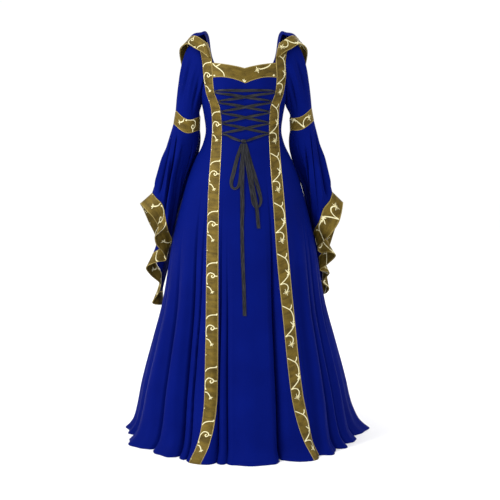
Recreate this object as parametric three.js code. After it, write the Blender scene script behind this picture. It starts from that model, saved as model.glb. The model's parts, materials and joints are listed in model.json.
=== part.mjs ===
// A full-length medieval gown of blue jersey: square neck with a sweetheart yoke, gold bands
// from hem to shoulder, laced front, bell sleeves and a hood lying on the shoulders.
// Millimetres, +Z up, the front faces -Y and +X is the wearer's left. Heights are measured from
// the floor that the hem meets. The whole gown is then lowered, so that the origin lies midway
// between the shoulders, on the line where the body that wears it would carry it.

import * as THREE from 'three';

// Driving dimensions

const SHOULDER_HEIGHT = 1360;   // height of the shoulder line above the floor
const CHEST_HEIGHT = 1190;      // above this height the body rounds over to the shoulder line
const UNDERARM_HEIGHT = 1150;
const YOKE_TOP = 1288;          // neckline at its corners
const YOKE_BOTTOM = 1238;       // yoke's lower edge beside the bands
const CLOTH = 1.5;              // thickness of the blue jersey wall
const BAND = 2.0;               // thickness of the gold brocade wall
const SEAM = 0.3;               // distance between two pieces at a seam
const BELL_ROWS = [0, 0.14, 0.34, 0.56, 0.78, 1];   // shares of a bell's length with mesh rows
const CUFF_STEPS = 1;           // mesh rows across the band of a bell's hem
const RIBBON = 0.9;             // thickness of the satin lace
const RIBBON_STEP = 13;
const HOOD_BAND_WIDTH = 44;

// Over the shoulder a body height goes on as an arc length: a quarter turn of this radius

const SHOULDER_RADIUS = SHOULDER_HEIGHT - CHEST_HEIGHT;
const SHOULDER_LINE = CHEST_HEIGHT + SHOULDER_RADIUS * Math.PI / 2;
const arcAt = (z) => CHEST_HEIGHT + SHOULDER_RADIUS * Math.asin((z - CHEST_HEIGHT) / SHOULDER_RADIUS);
const YOKE_LOW = arcAt(YOKE_BOTTOM);
const YOKE_HIGH = arcAt(YOKE_TOP);

// Body rings by height: half width, and depth to the front and to the back

const BODY_RINGS = [
  { s: 0, half: 414, front: 428, back: 420 },
  { s: 14, half: 399, front: 412, back: 405 },
  { s: 34, half: 385, front: 396, back: 392 },
  { s: 80, half: 371, front: 378, back: 378 },
  { s: 174, half: 352, front: 352, back: 356 },
  { s: 335, half: 313, front: 306, back: 314 },
  { s: 458, half: 284, front: 268, back: 282 },
  { s: 680, half: 247, front: 206, back: 226 },
  { s: 847, half: 206, front: 162, back: 178 },
  { s: 911, half: 186, front: 143, back: 158 },
  { s: 963, half: 165, front: 126, back: 135 },
  { s: 1015, half: 140, front: 108, back: 106 },
  { s: 1060, half: 130, front: 99, back: 88 },
  { s: 1100, half: 134, front: 103, back: 88 },
  { s: 1150, half: 143, front: 112, back: 98 },
  { s: 1190, half: 150, front: 116, back: 105 },
  { s: 1246, half: 154, front: 116, back: 105 },
  { s: 1294, half: 162, front: 116, back: 105 },
  { s: 1380, half: 176, front: 116, back: 105 },
  { s: SHOULDER_LINE, half: 188, front: 116, back: 105 },
];

// Bust shaping of the cut, one mound on each side

const BUST = { x: 78, s: 1178, rise: 20, wide: 52, tall: 62 };

// Gold bands by height: centre line of the wearer's right (-X) and left (+X) band, and width

const BANDS = [
  { s: 0, right: -151, left: 240, width: 39 },
  { s: 46, right: -129, left: 217, width: 39 },
  { s: 108, right: -115, left: 197, width: 39 },
  { s: 199, right: -107, left: 177, width: 39 },
  { s: 440, right: -104, left: 151, width: 39 },
  { s: 636, right: -103, left: 133, width: 39 },
  { s: 835, right: -100, left: 118, width: 38 },
  { s: 992, right: -92, left: 106, width: 35 },
  { s: 1068, right: -89, left: 103, width: 33 },
  { s: 1134, right: -93, left: 105, width: 31 },
  { s: 1192, right: -112, left: 122, width: 29 },
  { s: 1250, right: -119, left: 128, width: 32 },
  { s: 1294, right: -122, left: 126, width: 33 },
  { s: 1380, right: -134, left: 135, width: 36 },
  { s: SHOULDER_LINE, right: -145, left: 145, width: 39 },
];

// Skirt folds: troughs (out < 0) and ridges (out > 0), each a soft wave across its width.
// Angles in degrees from centre front towards +X, at the hem and at the height where it fades.

const SKIRT_FOLDS = [
  { hem: -51, top: -60, from: 760, wide: 6.5, out: -15 },
  { hem: -42, top: -52, from: 820, wide: 5, out: 7 },
  { hem: -33, top: -44, from: 930, wide: 5, out: -15 },
  { hem: -27.5, top: -36, from: 960, wide: 3.4, out: -8 },
  { hem: -12.5, top: -19, from: 900, wide: 3, out: -9 },
  { hem: -7.5, top: -13, from: 780, wide: 2.6, out: -6 },
  { hem: 3, top: 4, from: 640, wide: 7, out: 5 },
  { hem: 18.5, top: 25, from: 960, wide: 4.2, out: -15 },
  { hem: 39, top: 47, from: 930, wide: 4.5, out: -14 },
  { hem: 45, top: 54, from: 850, wide: 4, out: 7 },
  { hem: 53, top: 60, from: 820, wide: 4, out: -10 },
  { hem: 63, top: 67, from: 860, wide: 5.5, out: -14 },
  { hem: 78, top: 78, from: 700, wide: 6, out: -12 },
  { hem: 94, top: 92, from: 620, wide: 7, out: 10 },
  { hem: 108, top: 106, from: 780, wide: 6, out: -15 },
  { hem: 121, top: 118, from: 700, wide: 6, out: 8 },
  { hem: 133, top: 130, from: 880, wide: 6, out: -16 },
  { hem: 148, top: 143, from: 760, wide: 5.5, out: -11 },
  { hem: 163, top: 158, from: 920, wide: 5.5, out: -16 },
  { hem: 176, top: 175, from: 640, wide: 7, out: 8 },
  { hem: 191, top: 195, from: 900, wide: 5.5, out: -15 },
  { hem: 207, top: 211, from: 740, wide: 6, out: -11 },
  { hem: 222, top: 226, from: 860, wide: 6, out: -16 },
  { hem: 237, top: 240, from: 680, wide: 6, out: 8 },
  { hem: 251, top: 253, from: 800, wide: 6, out: -15 },
  { hem: 265, top: 266, from: 600, wide: 7, out: 9 },
  { hem: 282, top: 281, from: 720, wide: 6, out: -13 },
  { hem: 296, top: 295, from: 640, wide: 6, out: 8 },
];

// Waves of the hem where it spreads on the floor; they fade upwards within FLOOR_WAVE mm

const FLOOR_WAVE = 150;
const FLOOR_WAVES = [
  { hem: -88, wide: 6, out: -8 },
  { hem: -78, wide: 4, out: -16 },
  { hem: -63, wide: 7, out: 8 },
  { hem: -42, wide: 4, out: -15 },
  { hem: -20, wide: 8, out: 14 },
  { hem: 8, wide: 8, out: 6 },
  { hem: 21, wide: 4, out: -16 },
  { hem: 32, wide: 7, out: 16 },
  { hem: 50, wide: 5, out: -10 },
  { hem: 70, wide: 6, out: -6 },
  { hem: 92, wide: 9, out: 24 },
  { hem: 115, wide: 6, out: -10 },
  { hem: 140, wide: 7, out: 10 },
  { hem: 170, wide: 6, out: -10 },
  { hem: 198, wide: 8, out: 10 },
  { hem: 228, wide: 6, out: -10 },
  { hem: 248, wide: 6, out: 8 },
];

// Heights of the mesh rows of the body panels

const ROWS = [
  0, 14, 34, 80, 174, 270, 370, 480, 590, 690, 780, 855, 920, 970, 1010, 1036, 1060, 1082, 1112,
  UNDERARM_HEIGHT, 1190, 1215, YOKE_LOW, 1266, YOKE_HIGH, 1335, 1380, 1420,
];

// Back edge of the armhole, and the square back neckline, whose share runs from 0 at the centre
// back to 1 at the armhole

const BACK_ARMHOLE = [
  { s: UNDERARM_HEIGHT, x: 143 },
  { s: 1190, x: 139 },
  { s: 1246, x: 138 },
  { s: 1310, x: 143 },
  { s: 1380, x: 153 },
  { s: SHOULDER_LINE, x: 165 },
];
const BACK_NECKLINE = [
  { share: 0, s: 1256 },
  { share: 0.36, s: 1259 },
  { share: 0.66, s: 1270 },
  { share: 0.75, s: 1300 },
  { share: 0.79, s: 1370 },
  { share: 0.83, s: SHOULDER_LINE },
];

// Armband ring below the elbow, by side: reach of its inner and outer edge, height of its upper
// and lower edge there, and how far its front sags

const ARMBANDS = {
  right: { inner: 150, outer: 234, topInner: 1108, topOuter: 1130, foot: 47, deep: 45, sag: 20 },
  left: { inner: 160, outer: 235, topInner: 1103, topOuter: 1138, foot: 44, deep: 44, sag: 12 },
};
const ARMBAND_Y = 8;
const ARMBAND_SPREAD = 8;

// Hem of a bell sleeve, from the short point at the outside down the front to the tail and up
// the back. Each row gives the place around the armband (degrees from the outside, towards the
// front), the seam of the gold cuff band, and the hem itself. The first number is outwards.

const RIGHT_BELL = [
  { around: 0, seam: [317, 0, 844], hem: [359, -8, 806] },
  { around: 18, seam: [300, -32, 829], hem: [333, -36, 783] },
  { around: 36, seam: [281, -37, 810], hem: [312, -43, 760] },
  { around: 54, seam: [271, -33, 771], hem: [295, -31, 725] },
  { around: 72, seam: [264, -46, 739], hem: [299, -39, 707] },
  { around: 90, seam: [261, 8, 708], hem: [311, -3, 688] },
  { around: 106, seam: [253, 36, 681], hem: [306, 9, 661] },
  { around: 120, seam: [256, 45, 665], hem: [283, 18, 631] },
  { around: 134, seam: [268, 52, 650], hem: [275, 43, 602] },
  { around: 148, seam: [296, 45, 644], hem: [308, 36, 596] },
  { around: 160, seam: [322, 55, 623], hem: [345, 41, 577] },
  { around: 172, seam: [314, 78, 590], hem: [332, 69, 545] },
  { around: 184, seam: [297, 85, 556], hem: [299, 87, 508] },
  { around: 196, seam: [300, 100, 522], hem: [309, 92, 474] },
  { around: 206, seam: [310, 109, 486], hem: [330, 103, 439] },
  { around: 214, seam: [303, 123, 480], hem: [308, 113, 431] },
  { around: 222, seam: [296, 139, 481], hem: [293, 140, 433] },
  { around: 234, seam: [299, 159, 519], hem: [316, 163, 473] },
  { around: 248, seam: [285, 159, 572], hem: [298, 173, 526] },
  { around: 266, seam: [296, 154, 640], hem: [323, 162, 602] },
  { around: 288, seam: [290, 130, 706], hem: [318, 148, 668] },
  { around: 314, seam: [302, 87, 769], hem: [342, 108, 735] },
  { around: 338, seam: [319, 40, 824], hem: [356, 50, 785] },
];
const LEFT_BELL = [
  { around: 0, seam: [308, 0, 847], hem: [346, -8, 810] },
  { around: 18, seam: [298, -24, 821], hem: [339, -36, 775] },
  { around: 36, seam: [275, -35, 793], hem: [330, -41, 745] },
  { around: 54, seam: [260, -50, 750], hem: [305, -49, 708] },
  { around: 72, seam: [248, -10, 722], hem: [279, -20, 676] },
  { around: 90, seam: [247, 18, 700], hem: [262, 9, 650] },
  { around: 104, seam: [263, 25, 691], hem: [269, 33, 631] },
  { around: 118, seam: [288, 28, 681], hem: [305, 22, 633] },
  { around: 130, seam: [298, 47, 660], hem: [325, 33, 620] },
  { around: 144, seam: [284, 64, 635], hem: [299, 54, 587] },
  { around: 158, seam: [269, 75, 608], hem: [271, 61, 564] },
  { around: 170, seam: [289, 85, 592], hem: [306, 70, 554] },
  { around: 182, seam: [284, 103, 561], hem: [284, 90, 517] },
  { around: 194, seam: [299, 117, 539], hem: [308, 112, 491] },
  { around: 204, seam: [297, 128, 520], hem: [299, 125, 472] },
  { around: 213, seam: [282, 137, 516], hem: [285, 135, 468] },
  { around: 224, seam: [276, 157, 529], hem: [279, 161, 483] },
  { around: 240, seam: [290, 164, 576], hem: [303, 174, 532] },
  { around: 258, seam: [284, 153, 636], hem: [299, 163, 592] },
  { around: 278, seam: [288, 135, 701], hem: [319, 153, 665] },
  { around: 306, seam: [298, 98, 766], hem: [334, 103, 730] },
  { around: 334, seam: [308, 44, 825], hem: [345, 51, 787] },
];

// The inner side of each bell falls straighter than its hem lies: how far it swings in and back,
// around which degree of the ring, and over how many degrees to each side. It ends at a share of
// the bell's length; the scale makes its largest value 1.
const BELL_DROP = {
  right: { inward: 18, back: 14, middle: 165, reach: 110 },
  left: { inward: 18, back: 20, middle: 165, reach: 110 },
  end: 0.5,
  scale: 6.75,
};

// Hood, thrown back: sections from the front neck corner to the centre back. Each row gives the
// neck edge as a place on the body, the crest where the cloth turns over, the lowest fold, the
// free edge, and how far the cloth bellies out between fold and edge.

const HOOD_SECTIONS = [
  { neck: { x: 109, s: 1312, back: false }, crest: [112, -73, 1308], fold: [114, -74, 1309],
    edge: [118, -75, 1306], belly: 0 },
  { neck: { x: 116.5, s: 1364, back: false }, crest: [122, -60, 1340], fold: [130, -61, 1339],
    edge: [139, -60, 1324], belly: 0 },
  { neck: { x: 124, s: 1440, back: false }, crest: [134, -22, 1372], fold: [147, -36, 1367],
    edge: [162, -50, 1336], belly: 1 },
  { neck: { x: 122, s: 1392, back: true }, crest: [132, 16, 1398], fold: [164, -2, 1390],
    edge: [191, -32, 1353], belly: 2 },
  { neck: { x: 115, s: 1338, back: true }, crest: [126, 46, 1394], fold: [177, 32, 1384],
    edge: [217, 2, 1340], belly: 3 },
  { neck: { x: 108, s: 1289, back: true }, crest: [119, 72, 1345], fold: [166, 80, 1328],
    edge: [219, 46, 1302], belly: 4 },
  { neck: { x: 86, s: 1262, back: true }, crest: [101, 92, 1288], fold: [126, 113, 1200],
    edge: [200, 98, 1240], belly: 10 },
  { neck: { x: 42, s: 1252, back: true }, crest: [50, 104, 1270], fold: [68, 124, 1080],
    edge: [128, 161, 1180], belly: 22 },
  { neck: { x: 0.15, s: 1250, back: true }, crest: [0.15, 110, 1266], fold: [0.3, 128, 1045],
    edge: [0.15, 183, 1162], belly: 28 },
];
const HOOD_STEP = 0.5;          // mesh columns of the hood, in table rows
const HOOD_CLOTH_START = 2.5;   // section where the blue cloth begins behind the shoulder

// Lacing: heights of the five pairs of loops on the inner edges of the bands

const LOOP_HEIGHTS = [1190, 1158, 1124, 1087, 1050];
const LOOP = { reach: 10.5, half: 6.5, lift: 4.6, wire: 0.9, root: -2.6, rootLift: 2.7 };
const KNOT = { x: 1, s: 1024, wide: 19, tall: 13, deep: 7.6, lift: 5.6 };

// Bow and free ends of the lace: x, height and lift above the panel, and the ribbon's width

const BOW_LOOPS = {
  right: [
    { x: -5, s: 1016, lift: 2.1, wide: 6 },
    { x: -20, s: 970, lift: 2.1, wide: 8 },
    { x: -32, s: 922, lift: 2.2, wide: 9 },
    { x: -40, s: 888, lift: 2.4, wide: 8 },
    { x: -37, s: 872, lift: 2.6, wide: 6 },
    { x: -28, s: 867, lift: 2.9, wide: 5 },
    { x: -18, s: 873, lift: 3.2, wide: 6 },
    { x: -11, s: 893, lift: 3.6, wide: 8 },
    { x: -7, s: 935, lift: 3.8, wide: 8 },
    { x: -3, s: 980, lift: 3.8, wide: 7 },
    { x: -3, s: 1016, lift: 3.8, wide: 5 },
  ],
  left: [
    { x: 8, s: 1016, lift: 2.1, wide: 6 },
    { x: 24, s: 955, lift: 2.1, wide: 8 },
    { x: 41, s: 898, lift: 2.2, wide: 9 },
    { x: 55, s: 848, lift: 2.4, wide: 8 },
    { x: 58, s: 826, lift: 2.6, wide: 7 },
    { x: 53, s: 810, lift: 2.9, wide: 5 },
    { x: 43, s: 806, lift: 3.2, wide: 6 },
    { x: 34, s: 818, lift: 3.6, wide: 8 },
    { x: 27, s: 860, lift: 4.0, wide: 8 },
    { x: 17, s: 920, lift: 4.6, wide: 8 },
    { x: 8, s: 980, lift: 5.2, wide: 7 },
    { x: 6, s: 1016, lift: 5.2, wide: 5 },
  ],
};
const TAILS = {
  long: [
    { x: -2, s: 1016, lift: 6.8, wide: 7 },
    { x: -2, s: 950, lift: 6.0, wide: 9 },
    { x: -4, s: 880, lift: 5.2, wide: 10 },
    { x: -3, s: 815, lift: 3.6, wide: 10 },
    { x: -4, s: 750, lift: 2.6, wide: 9 },
    { x: -2, s: 640, lift: 2.6, wide: 9 },
    { x: 2, s: 545, lift: 2.6, wide: 9 },
    { x: 5, s: 456, lift: 2.6, wide: 9 },
  ],
  short: [
    { x: 6, s: 1016, lift: 6.8, wide: 6 },
    { x: 18, s: 945, lift: 6.6, wide: 8 },
    { x: 29, s: 885, lift: 6.4, wide: 9 },
    { x: 38, s: 835, lift: 6.0, wide: 9 },
    { x: 45, s: 795, lift: 4.6, wide: 9 },
    { x: 48, s: 765, lift: 2.8, wide: 9 },
    { x: 51, s: 737, lift: 2.6, wide: 9 },
  ],
};

// Materials

const BLUE = { color: 0x0a1878, roughness: 0.72, metalness: 0.0 };
const GOLD = { color: 0x8a7433, roughness: 0.5, metalness: 0.25 };
const SATIN = { color: 0x15161d, roughness: 0.35, metalness: 0.0 };

// Tables and small mathematics

// A smooth function through one column of a table, without overshoot between its rows.
function column(rows, key, name) {
  const x = rows.map((row) => row[key]);
  const y = rows.map((row) => row[name]);
  const last = x.length - 1;
  const slopes = x.slice(0, last).map((_, i) => (y[i + 1] - y[i]) / (x[i + 1] - x[i]));
  const tangents = x.map((_, i) => {
    if (i === 0) return slopes[0];
    if (i === last) return slopes[last - 1];
    const product = slopes[i - 1] * slopes[i];
    return product <= 0 ? 0 : 2 * product / (slopes[i - 1] + slopes[i]);
  });
  return (value) => {
    const t = Math.min(Math.max(value, x[0]), x[last]);
    let i = 0;
    while (i < last - 1 && t > x[i + 1]) i += 1;
    const span = x[i + 1] - x[i];
    const f = (t - x[i]) / span;
    const rise = f * f * (3 - 2 * f);
    const start = f * (1 - f) * (1 - f) * span * tangents[i];
    const end = f * f * (f - 1) * span * tangents[i + 1];
    return y[i] + (y[i + 1] - y[i]) * rise + start + end;
  };
}

const within = (t) => THREE.MathUtils.clamp(t, 0, 1);
const smoothstep = (t) => THREE.MathUtils.smoothstep(t, 0, 1);
const wave = (t) => (Math.abs(t) >= 1 ? 0 : (1 + Math.cos(Math.PI * t)) / 2);
const spread = (count, from = 0, to = 1) =>
  Array.from({ length: count + 1 }, (_, i) => from + (to - from) * i / count);

// Degrees from one direction to another, between -180 and 180.
const turnBetween = (a, b) => ((a - b + 540) % 360 + 360) % 360 - 180;

// Walls of cloth

// A closed wall of cloth on a surface. The surface maps (u, v) to { point, normal }; the wall
// runs over the grid of us and vs, half its thickness to each side. A round wall closes on
// itself in u. Insets move its four edges inwards, in millimetres, to leave the seams open.
function wall(surface, us, vs, thickness, { round = false, inset = {} } = {}) {
  const nodes = vs.map((v) => us.map((u) => surface(u, v)));
  const rowCount = vs.length;
  const columnCount = us.length;
  const slide = (node, towards, distance) => {
    if (!distance) return;
    const step = towards.point.clone().sub(node.point);
    node.point.addScaledVector(step.normalize(), distance);
  };
  for (let i = 0; i < columnCount; i += 1) {
    slide(nodes[0][i], nodes[1][i], inset.bottom);
    slide(nodes[rowCount - 1][i], nodes[rowCount - 2][i], inset.top);
  }
  for (let j = 0; j < rowCount && !round; j += 1) {
    slide(nodes[j][0], nodes[j][1], inset.start);
    slide(nodes[j][columnCount - 1], nodes[j][columnCount - 2], inset.end);
  }
  const positions = [];
  for (const side of [0.5, -0.5]) {
    for (const row of nodes) {
      for (const node of row) {
        const corner = node.point.clone().addScaledVector(node.normal, side * thickness);
        positions.push(corner.x, corner.y, corner.z);
      }
    }
  }
  const index = (face, j, i) => (face * rowCount + j) * columnCount + (i % columnCount);
  const triangles = [];
  const quad = (a, b, c, d) => triangles.push(a, b, c, a, c, d);
  const spans = round ? columnCount : columnCount - 1;
  for (let j = 0; j < rowCount - 1; j += 1) {
    for (let i = 0; i < spans; i += 1) {
      quad(index(0, j, i), index(0, j, i + 1), index(0, j + 1, i + 1), index(0, j + 1, i));
      quad(index(1, j, i), index(1, j + 1, i), index(1, j + 1, i + 1), index(1, j, i + 1));
    }
  }
  for (let i = 0; i < spans; i += 1) {
    const top = rowCount - 1;
    quad(index(0, 0, i), index(1, 0, i), index(1, 0, i + 1), index(0, 0, i + 1));
    quad(index(0, top, i), index(0, top, i + 1), index(1, top, i + 1), index(1, top, i));
  }
  for (let j = 0; j < rowCount - 1 && !round; j += 1) {
    const end = columnCount - 1;
    quad(index(0, j, 0), index(0, j + 1, 0), index(1, j + 1, 0), index(1, j, 0));
    quad(index(0, j, end), index(1, j, end), index(1, j + 1, end), index(0, j + 1, end));
  }
  return solid(positions, triangles);
}

// A solid from positions and triangles, turned so that its faces point outwards.
function solid(positions, triangles) {
  const corner = (k) => new THREE.Vector3().fromArray(positions, 3 * k);
  let volume = 0;
  for (let k = 0; k < triangles.length; k += 3) {
    const [a, b, c] = triangles.slice(k, k + 3).map(corner);
    volume += a.dot(b.cross(c));
  }
  const faces = volume < 0 ? triangles.slice().reverse() : triangles;
  const geometry = new THREE.BufferGeometry();
  geometry.setAttribute('position', new THREE.Float32BufferAttribute(positions, 3));
  geometry.setIndex(faces);
  geometry.computeVertexNormals();
  return geometry;
}

// A solid through equal sections, closed at both ends.
function sweep(sections) {
  const sides = sections[0].length;
  const positions = sections.flat().flatMap((point) => point.toArray());
  const triangles = [];
  for (let j = 0; j < sections.length - 1; j += 1) {
    for (let i = 0; i < sides; i += 1) {
      const next = (i + 1) % sides;
      const [a, b] = [j * sides + i, j * sides + next];
      const [c, d] = [(j + 1) * sides + next, (j + 1) * sides + i];
      triangles.push(a, b, c, a, c, d);
    }
  }
  const end = (sections.length - 1) * sides;
  for (let i = 1; i < sides - 1; i += 1) {
    triangles.push(0, i + 1, i);
    triangles.push(end, end + i, end + i + 1);
  }
  return solid(positions, triangles);
}

// Adds the normal of a surface, found from its slopes, to its points.
function withNormals(place, { stepU = 1e-3, stepV = 1e-3, facing = 1 } = {}) {
  return (u, v) => {
    const along = place(u + stepU, v).sub(place(u - stepU, v));
    const up = place(u, v + stepV).sub(place(u, v - stepV));
    const normal = along.cross(up).normalize().multiplyScalar(facing);
    return { point: place(u, v), normal };
  };
}

// The body of the gown

const bodyHalf = column(BODY_RINGS, 's', 'half');
const bodyFront = column(BODY_RINGS, 's', 'front');
const bodyBack = column(BODY_RINGS, 's', 'back');

// How far the skirt's folds move the cloth out or in, at an angle in degrees and a height.
function foldDepth(degrees, s) {
  let depth = 0;
  for (const fold of SKIRT_FOLDS) {
    if (s >= fold.from) continue;
    const rise = s / fold.from;
    const centre = fold.hem + (fold.top - fold.hem) * rise;
    const fade = smoothstep(Math.min(1, 1.25 * (1 - rise)));
    const wide = fold.wide * (0.75 + 0.5 * rise);
    depth += fold.out * fade * wave(turnBetween(degrees, centre) / wide / 1.4);
  }
  for (const ripple of FLOOR_WAVES) {
    if (s >= FLOOR_WAVE) continue;
    const fade = (1 - s / FLOOR_WAVE) ** 2;
    depth += ripple.out * fade * wave(turnBetween(degrees, ripple.hem) / ripple.wide / 1.4);
  }
  return depth;
}

// A place on the body: an angle in radians from centre front towards +X, and a height, which
// over the shoulder goes on as an arc length.
function bodyPlace(theta, s) {
  const turn = Math.max(0, (s - CHEST_HEIGHT) / SHOULDER_RADIUS);
  const height = s <= CHEST_HEIGHT ? s : CHEST_HEIGHT + SHOULDER_RADIUS * Math.sin(turn);
  const folds = foldDepth(THREE.MathUtils.radToDeg(theta), s);
  const half = bodyHalf(s) + folds;
  const faces = Math.cos(theta);
  const deep = ((faces > 0 ? bodyFront(s) : bodyBack(s)) + folds) * Math.cos(turn);
  const x = half * Math.sin(theta);
  const bustX = (Math.abs(x) - BUST.x) / BUST.wide;
  const bustS = (s - BUST.s) / BUST.tall;
  const bust = faces > 0 ? BUST.rise * Math.exp(-bustX * bustX - bustS * bustS) : 0;
  return new THREE.Vector3(x, -deep * faces - bust * Math.sqrt(Math.abs(faces)), height);
}

// The same place with the cloth's outward normal, level at the hem.
function bodyCloth(theta, s) {
  const place = withNormals(bodyPlace, { stepU: 1e-3, stepV: 0.5 })(theta, s);
  if (s < 1) place.normal.setZ(0).normalize();
  return place;
}

// The angle at which the front or back of the body reaches a given x.
function bodyAngle(x, s, back = false) {
  const front = Math.asin(THREE.MathUtils.clamp(x / bodyHalf(s), -1, 1));
  return back ? Math.PI - front : front;
}

// A point lifted off the front of the body along its normal.
function onFront(x, s, lift) {
  const { point, normal } = bodyCloth(bodyAngle(x, s), s);
  return { point: point.addScaledVector(normal, lift), normal };
}

const bandCentre = {
  right: column(BANDS, 's', 'right'),
  left: column(BANDS, 's', 'left'),
};
const bandWidth = column(BANDS, 's', 'width');
const sign = { right: -1, left: 1 };

// Angle of a band's edge: across runs from -1 at its inner edge to 1 at its outer edge.
function bandAngle(side, s, across) {
  return bodyAngle(bandCentre[side](s) + sign[side] * across * bandWidth(s) / 2, s);
}

// Outer edge of the side front: the side seam, and above the underarm the armhole's front.
function sideFrontEdge(side, s) {
  const seam = sign[side] * Math.PI / 2;
  if (s <= UNDERARM_HEIGHT) return seam;
  const band = bandAngle(side, s, 1);
  const rise = Math.min(1, (s - UNDERARM_HEIGHT) / (YOKE_LOW - UNDERARM_HEIGHT));
  return band + (seam - band) * (1 - rise) ** 1.2;
}

// Outer edge of the back: the side seam, and above the underarm the armhole's back.
const backArmhole = column(BACK_ARMHOLE, 's', 'x');
function backEdge(s) {
  return s <= UNDERARM_HEIGHT ? Math.PI / 2 : bodyAngle(backArmhole(s), s, true);
}

// Height of the yoke's edges: level beside the bands, two soft lobes and a point between them.
// The place u runs from 0 at the right band to 1 at the left band.
function sweetheart(u, side, lobe, dip) {
  const reach = Math.abs(2 * u - 1);
  return arcAt(side + lobe * Math.sin(Math.PI * reach) - dip * (1 - reach) ** 2.2);
}
const yokeLowAt = (u) => sweetheart(u, YOKE_BOTTOM, 3, 20);
const yokeHighAt = (u) => sweetheart(u, YOKE_TOP, -2, 19);

// Heights of the mesh rows between two heights, with the given ends.
function rowsBetween(low, high) {
  const inside = ROWS.filter((s) => s > low + 8 && s < high - 8);
  return [low, ...inside, high];
}

// Mesh columns of a panel between two edges: one at each fold's middle near the hem, one midway
// between neighbours, more where they would lie further apart than the given share, and one at
// each of the given corners.
function foldColumns(from, to, widest, corners = []) {
  const s = 100;
  const [start, end] = [from, to].map((edge) => THREE.MathUtils.radToDeg(edge(s)));
  const span = end - start;
  const centres = SKIRT_FOLDS
    .map((fold) => fold.hem + (fold.top - fold.hem) * s / fold.from)
    .map((degrees) => turnBetween(degrees, start) / span)
    .filter((u) => u > 0.03 && u < 0.97)
    .filter((u) => corners.every((corner) => Math.abs(u - corner) > 0.012))
    .concat(corners)
    .sort((a, b) => a - b);
  const columns = [0];
  for (const next of [...centres, 1]) {
    const last = columns.at(-1);
    const least = corners.includes(next) || corners.includes(last) ? 1 : 2;
    const steps = Math.max(least, Math.ceil((next - last) / widest));
    columns.push(...spread(steps, last, next).slice(1));
  }
  return columns;
}

// A body panel between two edges, from the hem or a given height up to a top edge. Its rows
// follow the top edge over the last stretch, so that the edge may rise and fall.
function panel({ from, to, widest, top, topAt, bottom = 0, thickness, inset }) {
  const place = (u, v) => {
    const reach = topAt ? topAt(u) : top;
    const s = bottom + (reach - bottom) * ((v - bottom) / (top - bottom));
    const start = from(s);
    return bodyCloth(start + (to(s) - start) * u, s);
  };
  const columns = foldColumns(from, to, widest);
  return wall(place, columns, rowsBetween(bottom, top), thickness, { inset });
}

const FRONT = {
  from: (s) => bandAngle('right', s, -1),
  to: (s) => bandAngle('left', s, -1),
  widest: 0.12,
};

function frontPanel() {
  return panel({
    ...FRONT, top: YOKE_LOW, topAt: yokeLowAt, thickness: CLOTH, inset: halfSeams(),
  });
}

const halfSeams = (changes = {}) =>
  ({ start: SEAM / 2, end: SEAM / 2, top: SEAM / 2, ...changes });

function neckYoke() {
  const place = (u, v) => {
    const share = (v - YOKE_LOW) / (YOKE_HIGH - YOKE_LOW);
    const s = yokeLowAt(u) + (yokeHighAt(u) - yokeLowAt(u)) * share;
    const start = FRONT.from(s);
    return bodyCloth(start + (FRONT.to(s) - start) * u, s);
  };
  const columns = foldColumns(FRONT.from, FRONT.to, FRONT.widest);
  const inset = { start: SEAM / 2, end: SEAM / 2, bottom: SEAM / 2 };
  return wall(place, columns, rowsBetween(YOKE_LOW, YOKE_HIGH), BAND, { inset });
}

function goldBand(side) {
  return panel({
    from: (s) => bandAngle(side, s, -1),
    to: (s) => bandAngle(side, s, 1),
    widest: 0.5, top: SHOULDER_LINE, thickness: BAND, inset: halfSeams({ top: SEAM }),
  });
}

function sideFront(side) {
  return panel({
    from: (s) => bandAngle(side, s, 1),
    to: (s) => sideFrontEdge(side, s),
    widest: 0.15, top: YOKE_LOW - 20, thickness: CLOTH, inset: halfSeams({ top: 0 }),
  });
}

// Each back half runs from the side seam to the centre back, and its top edge is the neckline.
const backNeckline = column(BACK_NECKLINE, 'share', 's');
function backHalf(side) {
  const outer = (s) => sign[side] * backEdge(s);
  const centre = sign[side] * Math.PI;
  const topAt = (u) => backNeckline(1 - u);
  const place = (u, v) => {
    const s = v <= 1190 ? v : 1190 + (topAt(u) - 1190) * (v - 1190) / (SHOULDER_LINE - 1190);
    const edge = outer(s);
    const wide = bodyHalf(s);
    const x = Math.abs(wide * Math.sin(edge)) * (1 - u);
    const across = s <= 1190 ? edge + (centre - edge) * u : sign[side] * bodyAngle(x, s, true);
    const blend = smoothstep((s - 1100) / 90);
    const level = edge + (centre - edge) * u;
    return bodyCloth(level + (across - level) * (s <= 1190 ? 0 : blend), s);
  };
  const inset = { start: SEAM / 2, end: SEAM / 2, top: SEAM };
  const corners = BACK_NECKLINE.slice(3).map((row) => 1 - row.share);
  const columns = foldColumns(outer, () => centre, 0.2, corners);
  return wall(place, columns, rowsBetween(0, SHOULDER_LINE), CLOTH, { inset });
}

// Sleeves

// The armhole, once around from the shoulder down the front and up the back, just outside the
// cloth of the body.
function armhole(side, around) {
  const front = around <= 0.5;
  const drop = front ? around * 2 : (1 - around) * 2;
  const s = SHOULDER_LINE + (UNDERARM_HEIGHT - SHOULDER_LINE) * drop;
  let theta = sign[side] * backEdge(s);
  if (front) theta = s > YOKE_LOW ? bandAngle(side, s, 1) : sideFrontEdge(side, s);
  const { point, normal } = bodyCloth(theta, s);
  return point.addScaledVector(normal, BAND / 2 + CLOTH / 2 + SEAM);
}

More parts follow.
